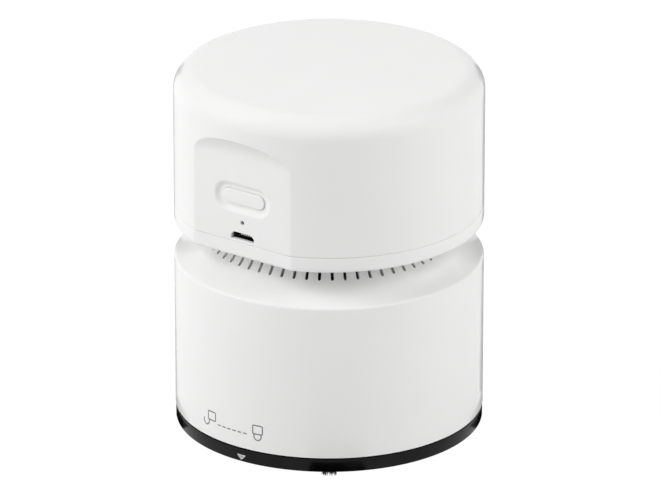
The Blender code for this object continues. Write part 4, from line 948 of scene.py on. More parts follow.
def frame_section():
    top = Z_SKIRT_TOP + LOCATOR_HEIGHT
    bore = LOCATOR - LOCATOR_WALL
    locator = [(bore, Z_FLOOR), (bore, top), (LOCATOR, top), (LOCATOR, Z_SKIRT_TOP)]
    edge = arc((DRUM - SKIRT_EDGE, Z_SKIRT_TOP - SKIRT_EDGE), SKIRT_EDGE, 90, 0, 4)
    wall = [(DRUM, Z_SKIRT_TOP - SKIRT_HEIGHT * share) for share in (0.3, 0.5)]
    fillet = arc((DRUM - SKIRT_FILLET, Z_SKIRT + SKIRT_FILLET), SKIRT_FILLET, 0, -90, 8)
    rows = [(SHAFT_HOLE, Z_FLOOR, 0), (CRADLE_BORE, Z_FLOOR, 0)]
    for radius, height in locator:
        rows.append((radius, height, WALL + GAP + (LOCATOR_WALL if radius < LOCATOR else 0)))
    rows += [(radius, height, DRUM - radius) for radius, height in edge + wall + fillet]
    return rows + [(CRADLE_BORE, Z_SKIRT, 0), (SHAFT_HOLE, Z_SKIRT, 0)]


def skirted(place, inset):
    """The skirt and the wall above it carry the panel's flat on, without cove or dish."""
    return Vector((place.x, soft_max(place.y, inset - PANEL_Y, CREASE), place.z))


def middle_frame():
    body = lathe("middle_frame", frame_section(), panel_angles, skirted)
    notch_x = USB_LENGTH + WALL
    notch = block(
        "notch",
        (-notch_x, WALL - PANEL_Y, Z_SKIRT_TOP),
        (notch_x, D_BACK + GAP - PANEL_Y, Z_SKIRT_TOP + LOCATOR_HEIGHT + OVERRUN),
    )
    cradle = tube("cradle", CRADLE_BORE + CRADLE_WALL, CRADLE_BORE, Z_FLOOR - SINK, Z_FLOOR + CRADLE_HEIGHT)
    rib = tube("rib", NECK_BORE - GAP, NECK_BORE - GAP - RIB_WALL, Z_SKIRT - RIB_DEPTH, Z_SKIRT + SINK)
    post_places = [(x, y) for x in (-POST_X, POST_X) for y in (-POST_Y, POST_Y)]
    posts = round_prisms("posts", POST_RADIUS, Z_FLOOR - SINK, tray_low.z - GAP, post_places)
    rooms = round_prisms("rooms", BOSS_RADIUS + GAP, Z_SKIRT - OVERRUN, Z_SKIRT, boss_places)
    bores = round_prisms("bores", SCREW_BORE, Z_SKIRT - OVERRUN, Z_FLOOR + OVERRUN, boss_places)
    return cut(join(cut(body, notch), cradle, rib, posts, board_guides()), rooms, bores)


BOARD_HALF = 13.0 * MM
BOARD_THICKNESS = 1.2 * MM
GUIDE_LENGTH = 1.6 * MM
GUIDE_LIP = 1.0 * MM
GUIDE_HEIGHT = 9.0 * MM


def board_guides():
    """Two slotted uprights that hold the control board by its edges."""
    front = D_BACK + GAP - PANEL_Y
    back = front + BOARD_THICKNESS
    guides = []
    for side in (-1, 1):
        inner, slot = side * (BOARD_HALF - GUIDE_LIP), side * (BOARD_HALF + GAP)
        outer = slot + side * GUIDE_LENGTH
        near, far = front - GAP - GUIDE_LENGTH, back + GAP + GUIDE_LENGTH
        outline = [(outer, near), (inner, near), (inner, front - GAP), (slot, front - GAP)]
        outline += [(slot, back + GAP), (inner, back + GAP), (inner, far), (outer, far)]
        guides.append(prism("guide", outline, Z_FLOOR - SINK, Z_FLOOR + GUIDE_HEIGHT))
    return gather("guides", guides)


piece("skirt_frame", middle_frame(), "housing", satin_white, ["mid_frame"])

# %% [markdown]
# ## Lower housing
# The lower drum flares in a concave shoulder from the neck to a crisp rim. Sixty slots in the shoulder's
# root let the air out. Each slot has a round end, so its tool is a pill seen from above, and one mesh of
# sixty tools makes one cut.

# %% Lower housing sizes
NECK = 28.3 * MM
COVE_DROP = 1.5 * MM
WAIST = 8.85 * MM
BEND_SHARE = 0.52
RIM_FILLET = 0.9 * MM
Z_RIM = Z_SKIRT - WAIST
Z_COVE_TOP = Z_SKIRT - COVE_DROP
DRUM_EDGE = 0.1 * MM
DRUM_BORE = DRUM - WALL
SEAT_DROP = 0.9 * MM
SEAT_RADIUS = 33.5 * MM
SEAT_BORE = 31.9 * MM
CHAMBER = 30.2 * MM
Z_SEAT = Z_RIM - SEAT_DROP
VENT_COUNT = 60
VENT_AZIMUTH = math.radians(1.46)  # of one slot, counted from the object's front
VENT_WIDTH = 0.75 * MM
VENT_FOOT = 30.3 * MM
VENT_CAP = 0.3 * MM
VENT_DEPTH = 1.0 * MM
VENT_LAND = 0.5 * MM
CHAMBER_SLOPE_SHARE = 0.45
# the chamber's roof follows the shoulder, so the slots are only a skin deep
SKIN_BEND = (29.0 * MM, 50.3 * MM)
SKIN_NECK = (27.2 * MM, 52.2 * MM)
SKIN_TOP = 53.2 * MM


# %% Shoulder and slots
def quadratic(start, control, end, shares):
    """Points of the curve that leaves start towards control and ends at end, one for each share."""
    points = []
    for t in shares:
        pulls = list(zip(((1 - t) ** 2, 2 * t * (1 - t), t * t), (start, control, end)))
        points.append(tuple(sum(pull * point[axis] for pull, point in pulls) for axis in (0, 1)))
    return points


def shoulder(count):
    """The flare as a quadratic curve from the neck to the rim's own small round."""
    bend = Z_RIM + BEND_SHARE * (Z_COVE_TOP - Z_RIM)
    slope = math.degrees(math.atan2(bend - Z_RIM, DRUM - NECK))
    rim = arc((DRUM - RIM_FILLET, Z_RIM - RIM_FILLET), RIM_FILLET, 90 - slope, 0, 8)
    shares = [step / count for step in range(count)]
    return quadratic((NECK, Z_COVE_TOP), (NECK, bend), rim[0], shares) + rim


def vent_floor():
    """Height of the slots' lower face, a little under the shoulder where they run out."""
    return next(height for radius, height in shoulder(200) if radius >= VENT_FOOT) - VENT_DEPTH


def chamber_top():
    return vent_floor() - VENT_LAND - CHAMBER_SLOPE_SHARE * (CHAMBER - NECK_BORE)


def vent_tools():
    """Slots that open right through into the fan's chamber, so that they look as black as they do in use."""
    low, high = chamber_top() - SINK, Z_COVE_TOP - VENT_CAP
    inner, half = NECK_BORE - WALL, VENT_WIDTH / 2
    outline = [(half, -inner), *arc((0, half - VENT_FOOT), half, 0, -180, 10), (-half, -inner)]
    tools = [prism("vent", outline, low, high) for _ in range(VENT_COUNT)]
    first = VENT_AZIMUTH - PANEL_TURN
    turns = [Matrix.Rotation(first + math.tau * vent / VENT_COUNT, 4, "Z") for vent in range(VENT_COUNT)]
    return gather("vents", tools, turns)


# %% [markdown]
# Inside the rim of the lower drum, four catches hold the base. A catch is a block between two radii over an
# angle, with a stop at its locked end. The lugs on the base are the same block the other way round.

# %% Bayonet blocks
LUG_COUNT = 4
LUG_REACH = 1.5 * MM
LUG_HEIGHT = 2.0 * MM
LUG_ANGLE = math.radians(14)
STOP_ANGLE = math.radians(2.5)
SLACK_ANGLE = math.radians(0.6)
LOCK_ANGLE = math.radians(7)
LUG_AZIMUTH = math.radians(30) - PANEL_TURN
Z_SPIGOT = ring_high.z
Z_LUG = Z_SPIGOT - GAP - LUG_HEIGHT
Z_CATCH = Z_LUG - GAP - LUG_HEIGHT


def sector(name, inner, outer, middle, span, low, high, count=12):
    angles = [middle - span / 2 + span * step / count for step in range(count + 1)]
    outline = [polar(outer, angle) for angle in angles] + [polar(inner, angle) for angle in reversed(angles)]
    return prism(name, outline, low, high)


def catches():
    inner, outer = DRUM_BORE - LUG_REACH, DRUM_BORE + SINK
    made = []
    for number in range(LUG_COUNT):
        middle = LUG_AZIMUTH + LOCK_ANGLE + math.tau * number / LUG_COUNT
        stop = middle + LUG_ANGLE / 2 + SLACK_ANGLE + STOP_ANGLE / 2
        span = LUG_ANGLE + 2 * (SLACK_ANGLE + STOP_ANGLE)
        shelf = sector("catch", inner, outer, middle, span, Z_CATCH, Z_CATCH + LUG_HEIGHT)
        post = sector("stop", inner, outer, stop, STOP_ANGLE, Z_CATCH + SINK, Z_LUG + LUG_HEIGHT, 4)
        made.append(join(shelf, post))
    return gather("catches", made)


# %% Lower housing
SEAT_STEP = 1.2 * MM  # how far below the filter's top its seat narrows
BOSS_FOOT = 1.0 * MM  # how far the bosses hang below the slots


def housing_section():
    z_chamber = chamber_top()
    z_step = filter_high.z - SEAT_STEP
    lip = arc((DRUM - DRUM_EDGE, Z_DRUM + DRUM_EDGE), DRUM_EDGE, 0, -90, 5)
    rows = [(NECK, Z_NECK), *shoulder(28), *lip, (DRUM_BORE, Z_DRUM), (DRUM_BORE, Z_SEAT - WALL)]
    rows += [(SEAT_RADIUS, Z_SEAT - WALL / 2), (SEAT_RADIUS, z_step)]
    rows += [(SEAT_BORE, z_step), (SEAT_BORE, Z_SEAT)]
    rows += [(CHAMBER, Z_SEAT), (CHAMBER, z_chamber), SKIN_BEND, SKIN_NECK]
    return rows + [(NECK_BORE, SKIN_TOP), (NECK_BORE, Z_NECK)]


def lower_housing():
    body = cut(lathe("lower_housing", housing_section(), round_angles), vent_tools())
    low = vent_floor() - BOSS_FOOT
    bosses = round_prisms("bosses", BOSS_RADIUS, low, Z_NECK, boss_places)
    bores = round_prisms("bores", SCREW_BORE, low - OVERRUN, Z_NECK + OVERRUN, boss_places)
    return cut(join(body, bosses, catches()), bores)


piece("lower_shell", lower_housing(), "housing", satin_white, ["lower_housing"])

# %% [markdown]
# ## Base ring
# The ring is turned too, with a small round on both outer edges that draws the thin highlight. Above it
# stand the spigot with its four lugs and, inside, the bosses for the plate's screws.

# %% Base ring
RING_EDGE = 0.12 * MM
RING_LAND = 6.0 * MM
LEDGE_WIDTH = 6.4 * MM
LEDGE_THICKNESS = 1.6 * MM
SPIGOT = DRUM_BORE - LUG_REACH - GAP
SPIGOT_WALL = 1.8 * MM
RING_HEIGHT = 3.3 * MM
Z_RING_TOP = Z_RING + RING_HEIGHT
POCKET = RING - RING_LAND
Z_LEDGE = plate_high.z + GAP
SCREW_CIRCLE = POCKET - LEDGE_WIDTH / 2
SCREW_RECESS = 0.5 * MM
SCREW_HEAD = 1.1 * MM
SCREW_HEAD_RADIUS = 1.9 * MM
SCREW_LENGTH = 4.6 * MM
PLATE_RECESS = 0.2 * MM
Z_PLATE = Z_RING + PLATE_RECESS
QUARTERS = [math.tau * number / 4 for number in range(4)]
screw_places = [polar(SCREW_CIRCLE, math.radians(22.5) - PANEL_TURN + turn) for turn in QUARTERS]


def base_ring():
    shoulder_edge = arc((RING - RING_EDGE, Z_RING_TOP - RING_EDGE), RING_EDGE, 90, 0, 6)
    foot_edge = arc((RING - RING_EDGE, Z_RING + RING_EDGE), RING_EDGE, 0, -90, 6)
    rows = [(SPIGOT, Z_SPIGOT), (SPIGOT, Z_RING_TOP), *shoulder_edge, *foot_edge]
    rows += [(POCKET, Z_RING), (POCKET, Z_LEDGE)]
    rows += [(POCKET - LEDGE_WIDTH, Z_LEDGE), (POCKET - LEDGE_WIDTH, Z_LEDGE + LEDGE_THICKNESS)]
    rows += [(SPIGOT - SPIGOT_WALL, Z_LEDGE + LEDGE_THICKNESS), (SPIGOT - SPIGOT_WALL, Z_SPIGOT)]
    inner, outer, lug_top = SPIGOT - SINK, SPIGOT + LUG_REACH, Z_LUG + LUG_HEIGHT
    lugs = [sector("lug", inner, outer, LUG_AZIMUTH + turn, LUG_ANGLE, Z_LUG, lug_top) for turn in QUARTERS]
    top = Z_PLATE + SCREW_RECESS + SCREW_LENGTH + SCREW_HEAD + GAP
    bosses = round_prisms("bosses", BOSS_RADIUS, Z_LEDGE + SINK, top, screw_places)
    bores = round_prisms("bores", SCREW_BORE, Z_LEDGE - OVERRUN, top + OVERRUN, screw_places)
    return cut(join(lathe("base_ring", rows, round_angles), gather("lugs", lugs), bosses), bores)


piece("gloss_ring", base_ring(), "base", gloss_black, ["base_ring"])

# %% [markdown]
# ## Suction plate
# The mouth is a round hole with four lobes that reach out between the brushes, so that crumbs at the edge
# are caught too. Its outline is drawn in polar form: for each direction, the ray leaves either the circle
# or the lobe, whichever is further. A margin on both lets the same outline flare into a rounded lip.

# %% Suction plate sizes
MOUTH = 7.5 * MM
LOBE_WIDTH = 5.0 * MM
PLATE_EDGE = 0.4 * MM
LIP = 0.6 * MM
BRUSH_WIDTH = 3.6 * MM
BRUSH_BACKING = 0.9 * MM
BRUSH_INNER = 10.7 * MM
BRUSH_OUTER = 30.3 * MM
PAD_RADIUS = 2.6 * MM
PAD_HEIGHT = 1.2 * MM
PAD_EDGE = 0.3 * MM
PAD_MARGIN = 0.4 * MM
PAD_DRAFT = 0.5 * MM
PLATE = POCKET - GAP
LOBE_REACH = 17.2 * MM
PAD_CIRCLE = (LOBE_REACH + PLATE) / 2
pad_places = [polar(PAD_CIRCLE, math.radians(45) - PANEL_TURN + turn) for turn in QUARTERS]
brush_turns = [Matrix.Rotation(turn - PANEL_TURN, 4, "Z") for turn in QUARTERS]


# %% Suction plate
def mouth_outline(margin, count=240):
    half = LOBE_WIDTH / 2 + margin
    reach = LOBE_REACH + margin - half
    points = []
    for angle in even_angles(count):
        off = (angle + math.radians(45)) % (math.pi / 2) - math.radians(45)
        across, along = abs(math.sin(off)), math.cos(off)
        side = half / across if across else math.inf
        lobe = side if side * along <= reach else reach * along + math.sqrt(half**2 - (reach * across) ** 2)
        points.append(polar(max(MOUTH + margin, lobe), angle + math.radians(45) - PANEL_TURN))
    return points


def mouth_tool():
    """Star cutter whose foot flares into a rounded lip."""
    rings = [(Z_PLATE - OVERRUN, LIP)]
    for step in range(0, 91, 15):
        turn = math.radians(step)
        rings.append((Z_PLATE + LIP * math.sin(turn), LIP * (1 - math.cos(math.pi / 2 - turn))))
    rings.append((plate_high.z + OVERRUN, 0))
    return loft("mouth", [[(x, y, z) for x, y in mouth_outline(margin)] for z, margin in rings])


def grooves():
    half, low, high = BRUSH_WIDTH / 2 + GAP, Z_PLATE - OVERRUN, Z_PLATE + BRUSH_BACKING + GAP
    inner, outer = BRUSH_INNER - GAP, BRUSH_OUTER + GAP
    tools = [block("groove", (-half, -outer, low), (half, -inner, high)) for _ in QUARTERS]
    return gather("grooves", tools, brush_turns)


def suction_plate():
    edge = arc((PLATE - PLATE_EDGE, Z_PLATE + PLATE_EDGE), PLATE_EDGE, 0, -90, 5)
    plate = lathe("plate", [(0, plate_high.z), (PLATE, plate_high.z), *edge, (0, Z_PLATE)], even_angles(180))
    posts = []
    for place in pad_places:
        foot, head = PAD_RADIUS + PAD_MARGIN, PAD_RADIUS + PAD_MARGIN + PAD_DRAFT
        low = PAD_HEIGHT + GAP
        levels = ((low, foot - PAD_EDGE), (low + PAD_EDGE, foot), (Z_PLATE + SINK, head))
        rings = [[(x, y, z) for x, y in circle(radius, place, 48)] for z, radius in levels]
        posts.append(loft("post", rings))
    top = Z_PLATE + SCREW_RECESS + SCREW_HEAD + GAP
    sinks = round_prisms("sinks", SCREW_HEAD_RADIUS + GAP, Z_PLATE - OVERRUN, top, screw_places, 48)
    bores = round_prisms("bores", SCREW_BORE, Z_PLATE - OVERRUN, plate_high.z + OVERRUN, screw_places)
    return cut(join(plate, gather("posts", posts)), mouth_tool(), grooves(), sinks, bores)


piece("underside_plate", suction_plate(), "base", matt_black, ["suction_plate"])

# %% [markdown]
# ## Duct
# Over the mouth, a funnel narrows to a chimney. It is one turned section, and only its inside shows,
# through the mouth.

# %% Intake duct
duct_low, duct_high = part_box("intake_duct")
DUCT_WALL = 1.2 * MM
DUCT_FLANGE = 3.0 * MM
CHIMNEY = 9.2 * MM
FUNNEL_HEIGHT = 8.0 * MM
DUCT_MARGIN = 1.0 * MM
DUCT_FOOT = LOBE_REACH + DUCT_MARGIN + DUCT_WALL


def intake_duct():
    foot, z0, z1 = DUCT_FOOT, duct_low.z, duct_low.z + DUCT_WALL
    z2 = z1 + FUNNEL_HEIGHT
    middle = ((foot + CHIMNEY) / 2 - DUCT_WALL, (z1 + z2) / 2 - DUCT_WALL)
    outside = [(CHIMNEY, duct_high.z), *bezier((CHIMNEY, z2), middle, (foot, z1), 10)]
    outside += [(foot + DUCT_FLANGE, z1), (foot + DUCT_FLANGE, z0), (foot - DUCT_WALL, z0)]
    start, end = (foot - DUCT_WALL, z0 + DUCT_WALL / 2), (CHIMNEY - DUCT_WALL, z2 - DUCT_WALL / 2)
    bend = (middle[0] - DUCT_WALL, middle[1] - DUCT_WALL / 2)
    inside = [*bezier(start, bend, end, 10), (CHIMNEY - DUCT_WALL, duct_high.z)]
    return lathe("duct", outside + inside, even_angles(120))


def bezier(start, through, end, count):
    """Curve between two points that passes through a third half way."""
    control = [2 * t - (s + e) / 2 for s, t, e in zip(start, through, end)]
    return quadratic(start, control, end, [step / count for step in range(count + 1)])


piece("funnel", intake_duct(), "base", matt_black, ["intake_duct"])

# %% [markdown]
# ## Brushes
# Each row is a backing strip with tufts punched into it. A tuft is a bundle of hairs that start close
# together and spread, each with its own length and lean, so the random numbers are seeded once per row.
# Hairs are thin four-sided cones, because their outline matters and their section doesn't.

# %% Brush sizes
TUFT_ROWS = 2
TUFT_COLUMNS = 9
HAIRS = 44
HAIR_RADIUS = 0.14 * MM
TUFT_RADIUS = 0.65 * MM
HAIR_SPREAD = 0.5 * MM
HAIR_UNEVEN = 0.6 * MM
TIP_LIMIT = 0.1 * MM
TIP_FLARE = 1.6 * MM  # the hairs at the outer end lean out by this much
FLARE_LENGTH = 4.0 * MM
HAIR_LEVELS = (0.0, 0.5, 0.85, 1.0)
HAIR_TAPER_SHARES = (1.0, 0.95, 0.75, 0.25)


# %% Brushes
def hair(bm, root, tip):
    """Four-sided strand that bends evenly from its root to its tip."""
    loops = []
    for level, share in zip(HAIR_LEVELS, HAIR_TAPER_SHARES):
        lean = level * level
        centre = Vector((
            root.x + (tip.x - root.x) * lean,
            root.y + (tip.y - root.y) * lean,
            root.z + (tip.z - root.z) * level,
        ))
        ring = [centre + Vector((*polar(HAIR_RADIUS * share, angle), 0)) for angle in even_angles(4)]
        loops.append([bm.verts.new(point) for point in ring])
    skin(bm, loops)


def brush_row(number):
    draw = random.Random(number)
    bm = bmesh.new()
    length = BRUSH_OUTER - BRUSH_INNER
    half = BRUSH_WIDTH / 2
    strip = block("strip", (-half, -BRUSH_OUTER, Z_PLATE), (half, -BRUSH_INNER, Z_PLATE + BRUSH_BACKING))
    bm.from_mesh(strip)
    bpy.data.meshes.remove(strip)
    for row in range(TUFT_ROWS):
        for column in range(TUFT_COLUMNS):
            x = (row - (TUFT_ROWS - 1) / 2) * BRUSH_WIDTH / TUFT_ROWS
            y = -BRUSH_OUTER + length * (column + 1 / 2) / TUFT_COLUMNS
            for _ in range(HAIRS):
                out, way = math.sqrt(draw.random()), draw.uniform(0, math.tau)
                root = Vector((x, y, Z_PLATE + SINK)) + Vector((*polar(TUFT_RADIUS * out, way), 0))
                reach = TUFT_RADIUS * out + HAIR_SPREAD * out * draw.uniform(0.4, 1.0)
                z_tip = TIP_LIMIT + HAIR_UNEVEN * draw.random() ** 2
                tip = Vector((x, y, z_tip)) + Vector((*polar(reach, way), 0))
                tip.x = min(max(tip.x, -half), half)
                tip.y = max(tip.y, -BRUSH_OUTER)
                tip.y -= TIP_FLARE * max(1 - (tip.y + BRUSH_OUTER) / FLARE_LENGTH, 0)
                hair(bm, root, tip)
    mesh = finished(bm, "brush")
    mesh.transform(brush_turns[number])
    return mesh


for number, side in enumerate(("front", "right", "back", "left")):
    piece(f"bristles_{side}", brush_row(number), "base", black_nylon, [f"brush_{side}"])

# %% [markdown]
# ## Feet and fasteners
# The glide pads are felt discs with a rounded rim. The screws are pan heads with a cross recess, cut by two
# tapered bars, because a screw without its recess reads as a rivet.

# %% Glide pads
def glide_pad(place):
    rim = arc((PAD_RADIUS - PAD_EDGE, PAD_EDGE), PAD_EDGE, 0, -90, 5)
    pad = lathe("pad", [(0, PAD_HEIGHT), (PAD_RADIUS, PAD_HEIGHT), *rim, (0, 0)], even_angles(64))
    pad.transform(Matrix.Translation((*place, 0)))
    return pad


for number, place in enumerate(pad_places, 1):
    piece(f"felt_pad_{number}", glide_pad(place), "base", grey_felt, [f"glide_pad_{number}"])


# %% Plate screws
SHANK = 1.0 * MM
HEAD_CROWN = 0.35 * MM
RECESS_DEPTH = 0.7 * MM
RECESS_REACH = 1.1 * MM
RECESS_WIDTH = 0.36 * MM
RECESS_MOUTH = 1.2  # shares of its reach, wider at the mouth than at the foot
RECESS_FOOT = 0.35
SCREW_TURN = 37  # degrees from one recess to the next, because no two screws end up alike


def pan_screw(place, turn):
    """Screw that points up, with its head's face below."""
    face = Z_PLATE + SCREW_RECESS
    head = face + SCREW_HEAD
    tip = head + SCREW_LENGTH
    crown = [(SCREW_HEAD_RADIUS, face + HEAD_CROWN)]
    crown.append((SCREW_HEAD_RADIUS - HEAD_CROWN / 2, face + HEAD_CROWN / 4))
    rows = [(0, tip), (SHANK, tip - SHANK), (SHANK, head), (SCREW_HEAD_RADIUS, head), *crown]
    screw = lathe("screw", rows + [(SCREW_HEAD_RADIUS / 2, face), (0, face)], even_angles(40))
    for quarter in (0, math.pi / 2):
        levels = ((face - SINK, RECESS_MOUTH), (face + RECESS_DEPTH, RECESS_FOOT))
        rings = []
        for z, share in levels:
            x, y = RECESS_REACH * share, RECESS_WIDTH * (0.5 + share / 2)
            rings.append([(x, y / 2, z), (-x, y / 2, z), (-x, -y / 2, z), (x, -y / 2, z)])
        bar = loft("recess", rings)
        bar.transform(Matrix.Rotation(quarter + turn, 4, "Z"))
        screw = cut(screw, bar)
    screw.transform(Matrix.Translation((*place, 0)))
    return screw


for number, place in enumerate(screw_places, 1):
    screw = pan_screw(place, math.radians(SCREW_TURN * number))
    piece(f"pan_screw_{number}", screw, "base", plated_steel, [f"plate_screw_{number}"])

# %% [markdown]
# ## Printed marks
# A padlock that is open, one that is closed and dashes between them tell which way to twist the base. They
# are thin films of ink on a round wall, so each line is a flat ribbon along a path of (along, up) points
# that is wrapped round the drum, a few hundredths of a millimetre proud.

# %% Ribbons on a round wall
INK_DEPTH = 0.02 * MM
INK_ROOT = 0.05 * MM
RIBBON_STEP = 0.25 * MM


def resampled(path, closed):
    """The same path with points no further apart than one step."""
    ends = path[1:] + path[:1] if closed else path[1:]
    points = []
    for start, end in zip(path, ends):
        count = max(1, math.ceil(math.dist(start, end) / RIBBON_STEP))
        points += [tuple(s + (e - s) * step / count for s, e in zip(start, end)) for step in range(count)]
    return points if closed else points + [path[-1]]


def ribbon(bm, path, width, radius, azimuth, closed=False):
    """Flat line on the wall; azimuth is where the path's origin lies, counted from the object's front."""
    points = resampled(path, closed)
    last = len(points) - 1
    loops = []
    for number, (x, z) in enumerate(points):
        before = points[number - 1] if closed or number else points[0]
        after = points[(number + 1) % len(points)] if closed or number < last else points[last]
        along = Vector((after[0] - before[0], after[1] - before[1])).normalized()
        side = Vector((-along.y, along.x)) * width / 2
        ring = []
        for depth, sign in ((INK_DEPTH, 1), (INK_DEPTH, -1), (-INK_ROOT, -1), (-INK_ROOT, 1)):
            angle = azimuth + (x + sign * side.x) / radius
            ring.append(bm.verts.new((*polar(radius + depth, angle), z + sign * side.y)))
        loops.append(ring)
    skin(bm, loops, closed)


# %% Padlocks and dashes
LINE = 0.3 * MM
LOCK_WIDTH = 2.66 * MM
LOCK_BODY = 2.25 * MM
LOCK_CORNER = 0.3 * MM
SHACKLE_WIDTH = 1.95 * MM
SHACKLE_DROP = 1.6 * MM
LOCK_LOW = 12.2 * MM  # height of the padlocks' lower edge above the desk
OPEN_AZIMUTH = math.radians(-48.9)
CLOSED_AZIMUTH = math.radians(-27.3)
DASH_COUNT = 6
DASH_LENGTH = 1.05 * MM
DASH_RISE = 11.7 * MM
DASH_START = math.radians(-46.15)
DASH_END = math.radians(-31.45)


def rounded_box(width, low, high, corner):
    half = width / 2 - corner
    centres = ((half, low + corner), (half, high - corner), (-half, high - corner), (-half, low + corner))
    points = []
    for quarter, centre in enumerate(centres):
        points += arc(centre, corner, 90 * quarter - 90, 90 * quarter, 4)
    return points


def hanging_shackle(centre, low, drop):
    """U that hangs from a height down round a half circle."""
    half = SHACKLE_WIDTH / 2
    bow = arc((centre, low - drop + half), half, 180, 360, 12)
    return [(centre - half, low), *bow, (centre + half, low)]


def padlocks():
    bm = bmesh.new()
    body = rounded_box(LOCK_WIDTH, LOCK_LOW, LOCK_LOW + LOCK_BODY, LOCK_CORNER)
    for azimuth in (OPEN_AZIMUTH, CLOSED_AZIMUTH):
        ribbon(bm, body, LINE, DRUM, azimuth, closed=True)
    ribbon(bm, hanging_shackle(0, LOCK_LOW, SHACKLE_DROP), LINE, DRUM, CLOSED_AZIMUTH)
    swung = hanging_shackle(-(SHACKLE_WIDTH + LOCK_WIDTH) / 2 + LOCK_CORNER, LOCK_LOW, SHACKLE_DROP)
    ribbon(bm, swung, LINE, DRUM, OPEN_AZIMUTH)
    for dash in range(DASH_COUNT):
        azimuth = DASH_START + (DASH_END - DASH_START) * (dash + 1 / 2) / DASH_COUNT
        ribbon(bm, [(-DASH_LENGTH / 2, DASH_RISE), (DASH_LENGTH / 2, DASH_RISE)], LINE, DRUM, azimuth)
    return finished(bm, "padlocks")


piece("padlock_marks", padlocks(), "housing", grey_ink, turned=False)

# %% [markdown]
# The pointer on the ring is a small triangle with a paler border, printed like the rest. It rides on the
# base, so it travels from one padlock to the other as the base turns.

# %% Pointer on the ring
POINTER_AZIMUTH = math.radians(-34.4)
POINTER_WIDTH = 2.3 * MM
POINTER_TOP = 5.66 * MM
POINTER_TIP = 4.55 * MM
POINTER_BORDER = 0.22 * MM
POINTER_COLUMNS = 8
POINTER_THIN = 0.999  # leaves a hair of height at both ends


def pointer_fill():
    """Triangle that follows the ring, as a fan of narrow columns."""
    bm = bmesh.new()
    rings = []
    for column in range(POINTER_COLUMNS + 1):
        share = 2 * column / POINTER_COLUMNS - 1
        angle = POINTER_AZIMUTH + share * POINTER_WIDTH / 2 / RING
        low = POINTER_TIP + (POINTER_TOP - POINTER_TIP) * min(abs(share), POINTER_THIN)
        proud = INK_DEPTH / 2
        section = ((proud, POINTER_TOP), (proud, low), (-INK_ROOT, low), (-INK_ROOT, POINTER_TOP))
        rings.append([bm.verts.new((*polar(RING + depth, angle), z)) for depth, z in section])
    skin(bm, rings)
    return finished(bm, "pointer")


def pointer_border():
    bm = bmesh.new()
    half = POINTER_WIDTH / 2
    path = [(-half, POINTER_TOP), (half, POINTER_TOP), (0, POINTER_TIP)]
    ribbon(bm, path, POINTER_BORDER, RING, POINTER_AZIMUTH, closed=True)
    return finished(bm, "border")


piece("pointer_fill", pointer_fill(), "base", silver_ink, turned=False)
piece("pointer_border", pointer_border(), "base", pale_ink, turned=False)

# %% [markdown]
# ## The works
# Inner pieces keep the model's own meshes, which are already true to size, so only their materials change.

# %% Finishes for the inner pieces
INNER_FINISHES = {
    "battery_cell": cell_sleeve,
    "battery_tab_minus": plated_steel,
    "battery_tab_plus": plated_steel,
    "battery_tray": grey_plastic,
    "base_seal": black_rubber,
    "control_board": board_green,
    "fan_shroud": matt_black,
    "filter_frame": grey_plastic,
    "filter_media": filter_cloth,
    "filter_seal": black_rubber,
    "housing_screw_1": plated_steel,
    "housing_screw_2": plated_steel,
    "housing_screw_3": plated_steel,
    "impeller": grey_plastic,
    "motor_armature": copper_coil,
    "motor_can": plated_steel,
    "motor_damper": black_rubber,
    "motor_end_cap": matt_black,
    "motor_magnet": ferrite,
    "motor_shaft": plated_steel,
    "switch_plunger": switch_black,
    "tact_switch": socket_steel,
}
for node, material in INNER_FINISHES.items():
    for material_slot in frame["nodes"][node].material_slots:
        material_slot.material = material
print(len(INNER_FINISHES), "inner nodes finished")

# %% [markdown]
# ## Light
# The photograph is a studio shot on white: a strong soft box to the left, two weaker ones to the right and
# little from the camera's side, so the drums are palest at their flanks and a shade darker in front. Three
# faint ones fill the top, the right edge and the back. Area lamps give that, at a level where white plastic
# renders about as it is written.

# %% Lamps
def soft_box(name, azimuth, elevation, distance, width, height, power):
    """Area lamp that looks at the object from an azimuth counted from the front, towards +X."""
    data = bpy.data.lights.new(name, "AREA")
    data.shape = "RECTANGLE"
    data.size = width
    data.size_y = height
    data.energy = power
    lamp = bpy.data.objects.new(name, data)
    lamp.visible_glossy = False  # the gloss mirrors the white room, without the lamps' outlines
    turn, rise = math.radians(azimuth), math.radians(elevation)
    way = Vector((math.sin(turn) * math.cos(rise), -math.cos(turn) * math.cos(rise), math.sin(rise)))
    lamp.location = AIM + way * distance
    lamp.rotation_euler = way.to_track_quat("Z", "Y").to_euler()
    bpy.context.scene.collection.objects.link(lamp)
    return lamp


LAMP_SIZE = 0.6
LAMP_DISTANCE = 1.0
# name: azimuth and elevation in degrees, power in watts
LAMPS = {
    "box_left": (-75, 35, 7.1),
    "box_left_high": (-110, 62, 0.6),
    "box_right": (75, 35, 3.5),
    "box_right_low": (75, 5, 0.4),
    "box_front_right": (45, 35, 2.8),
    "box_behind": (-150, 35, 1.1),
}
for name, (azimuth, elevation, power) in LAMPS.items():
    soft_box(name, azimuth, elevation, LAMP_DISTANCE, LAMP_SIZE, LAMP_SIZE, power)
print(len(LAMPS), "soft boxes")

# %% [markdown]
# White goods on a white ground lose their outline, so a photographer stands black cards just outside the
# picture: the surface mirrors them near its outline and a thin grey line appears. Two strips behind the
# drums do that here, as painted reflections. Three sheets on the floor are painted shadow: they keep the
# gloss ring black in front and at its ends, where it would mirror the floor in the object's shade. Only
# mirror rays see the cards, and like the floor they aren't part of the object.

# %% Black cards: painted reflections and painted shadow
# the strips give painted reflections: a thin dark line near the drums' outline
CARD_Y = 15.0 * MM
CARD_FOOT = 2.0 * MM
CARD_RIGHT = (DRUM + 0.3 * MM, DRUM + 8.0 * MM)
CARD_LEFT = (-DRUM - 5.0 * MM, -DRUM - 0.3 * MM)
# the floor sheets are painted shadow, mirrored by the gloss ring where the floor would lie in shade
SHEET_INNER = DRUM + 1.0 * MM
SHEET_RISE = 0.1 * MM
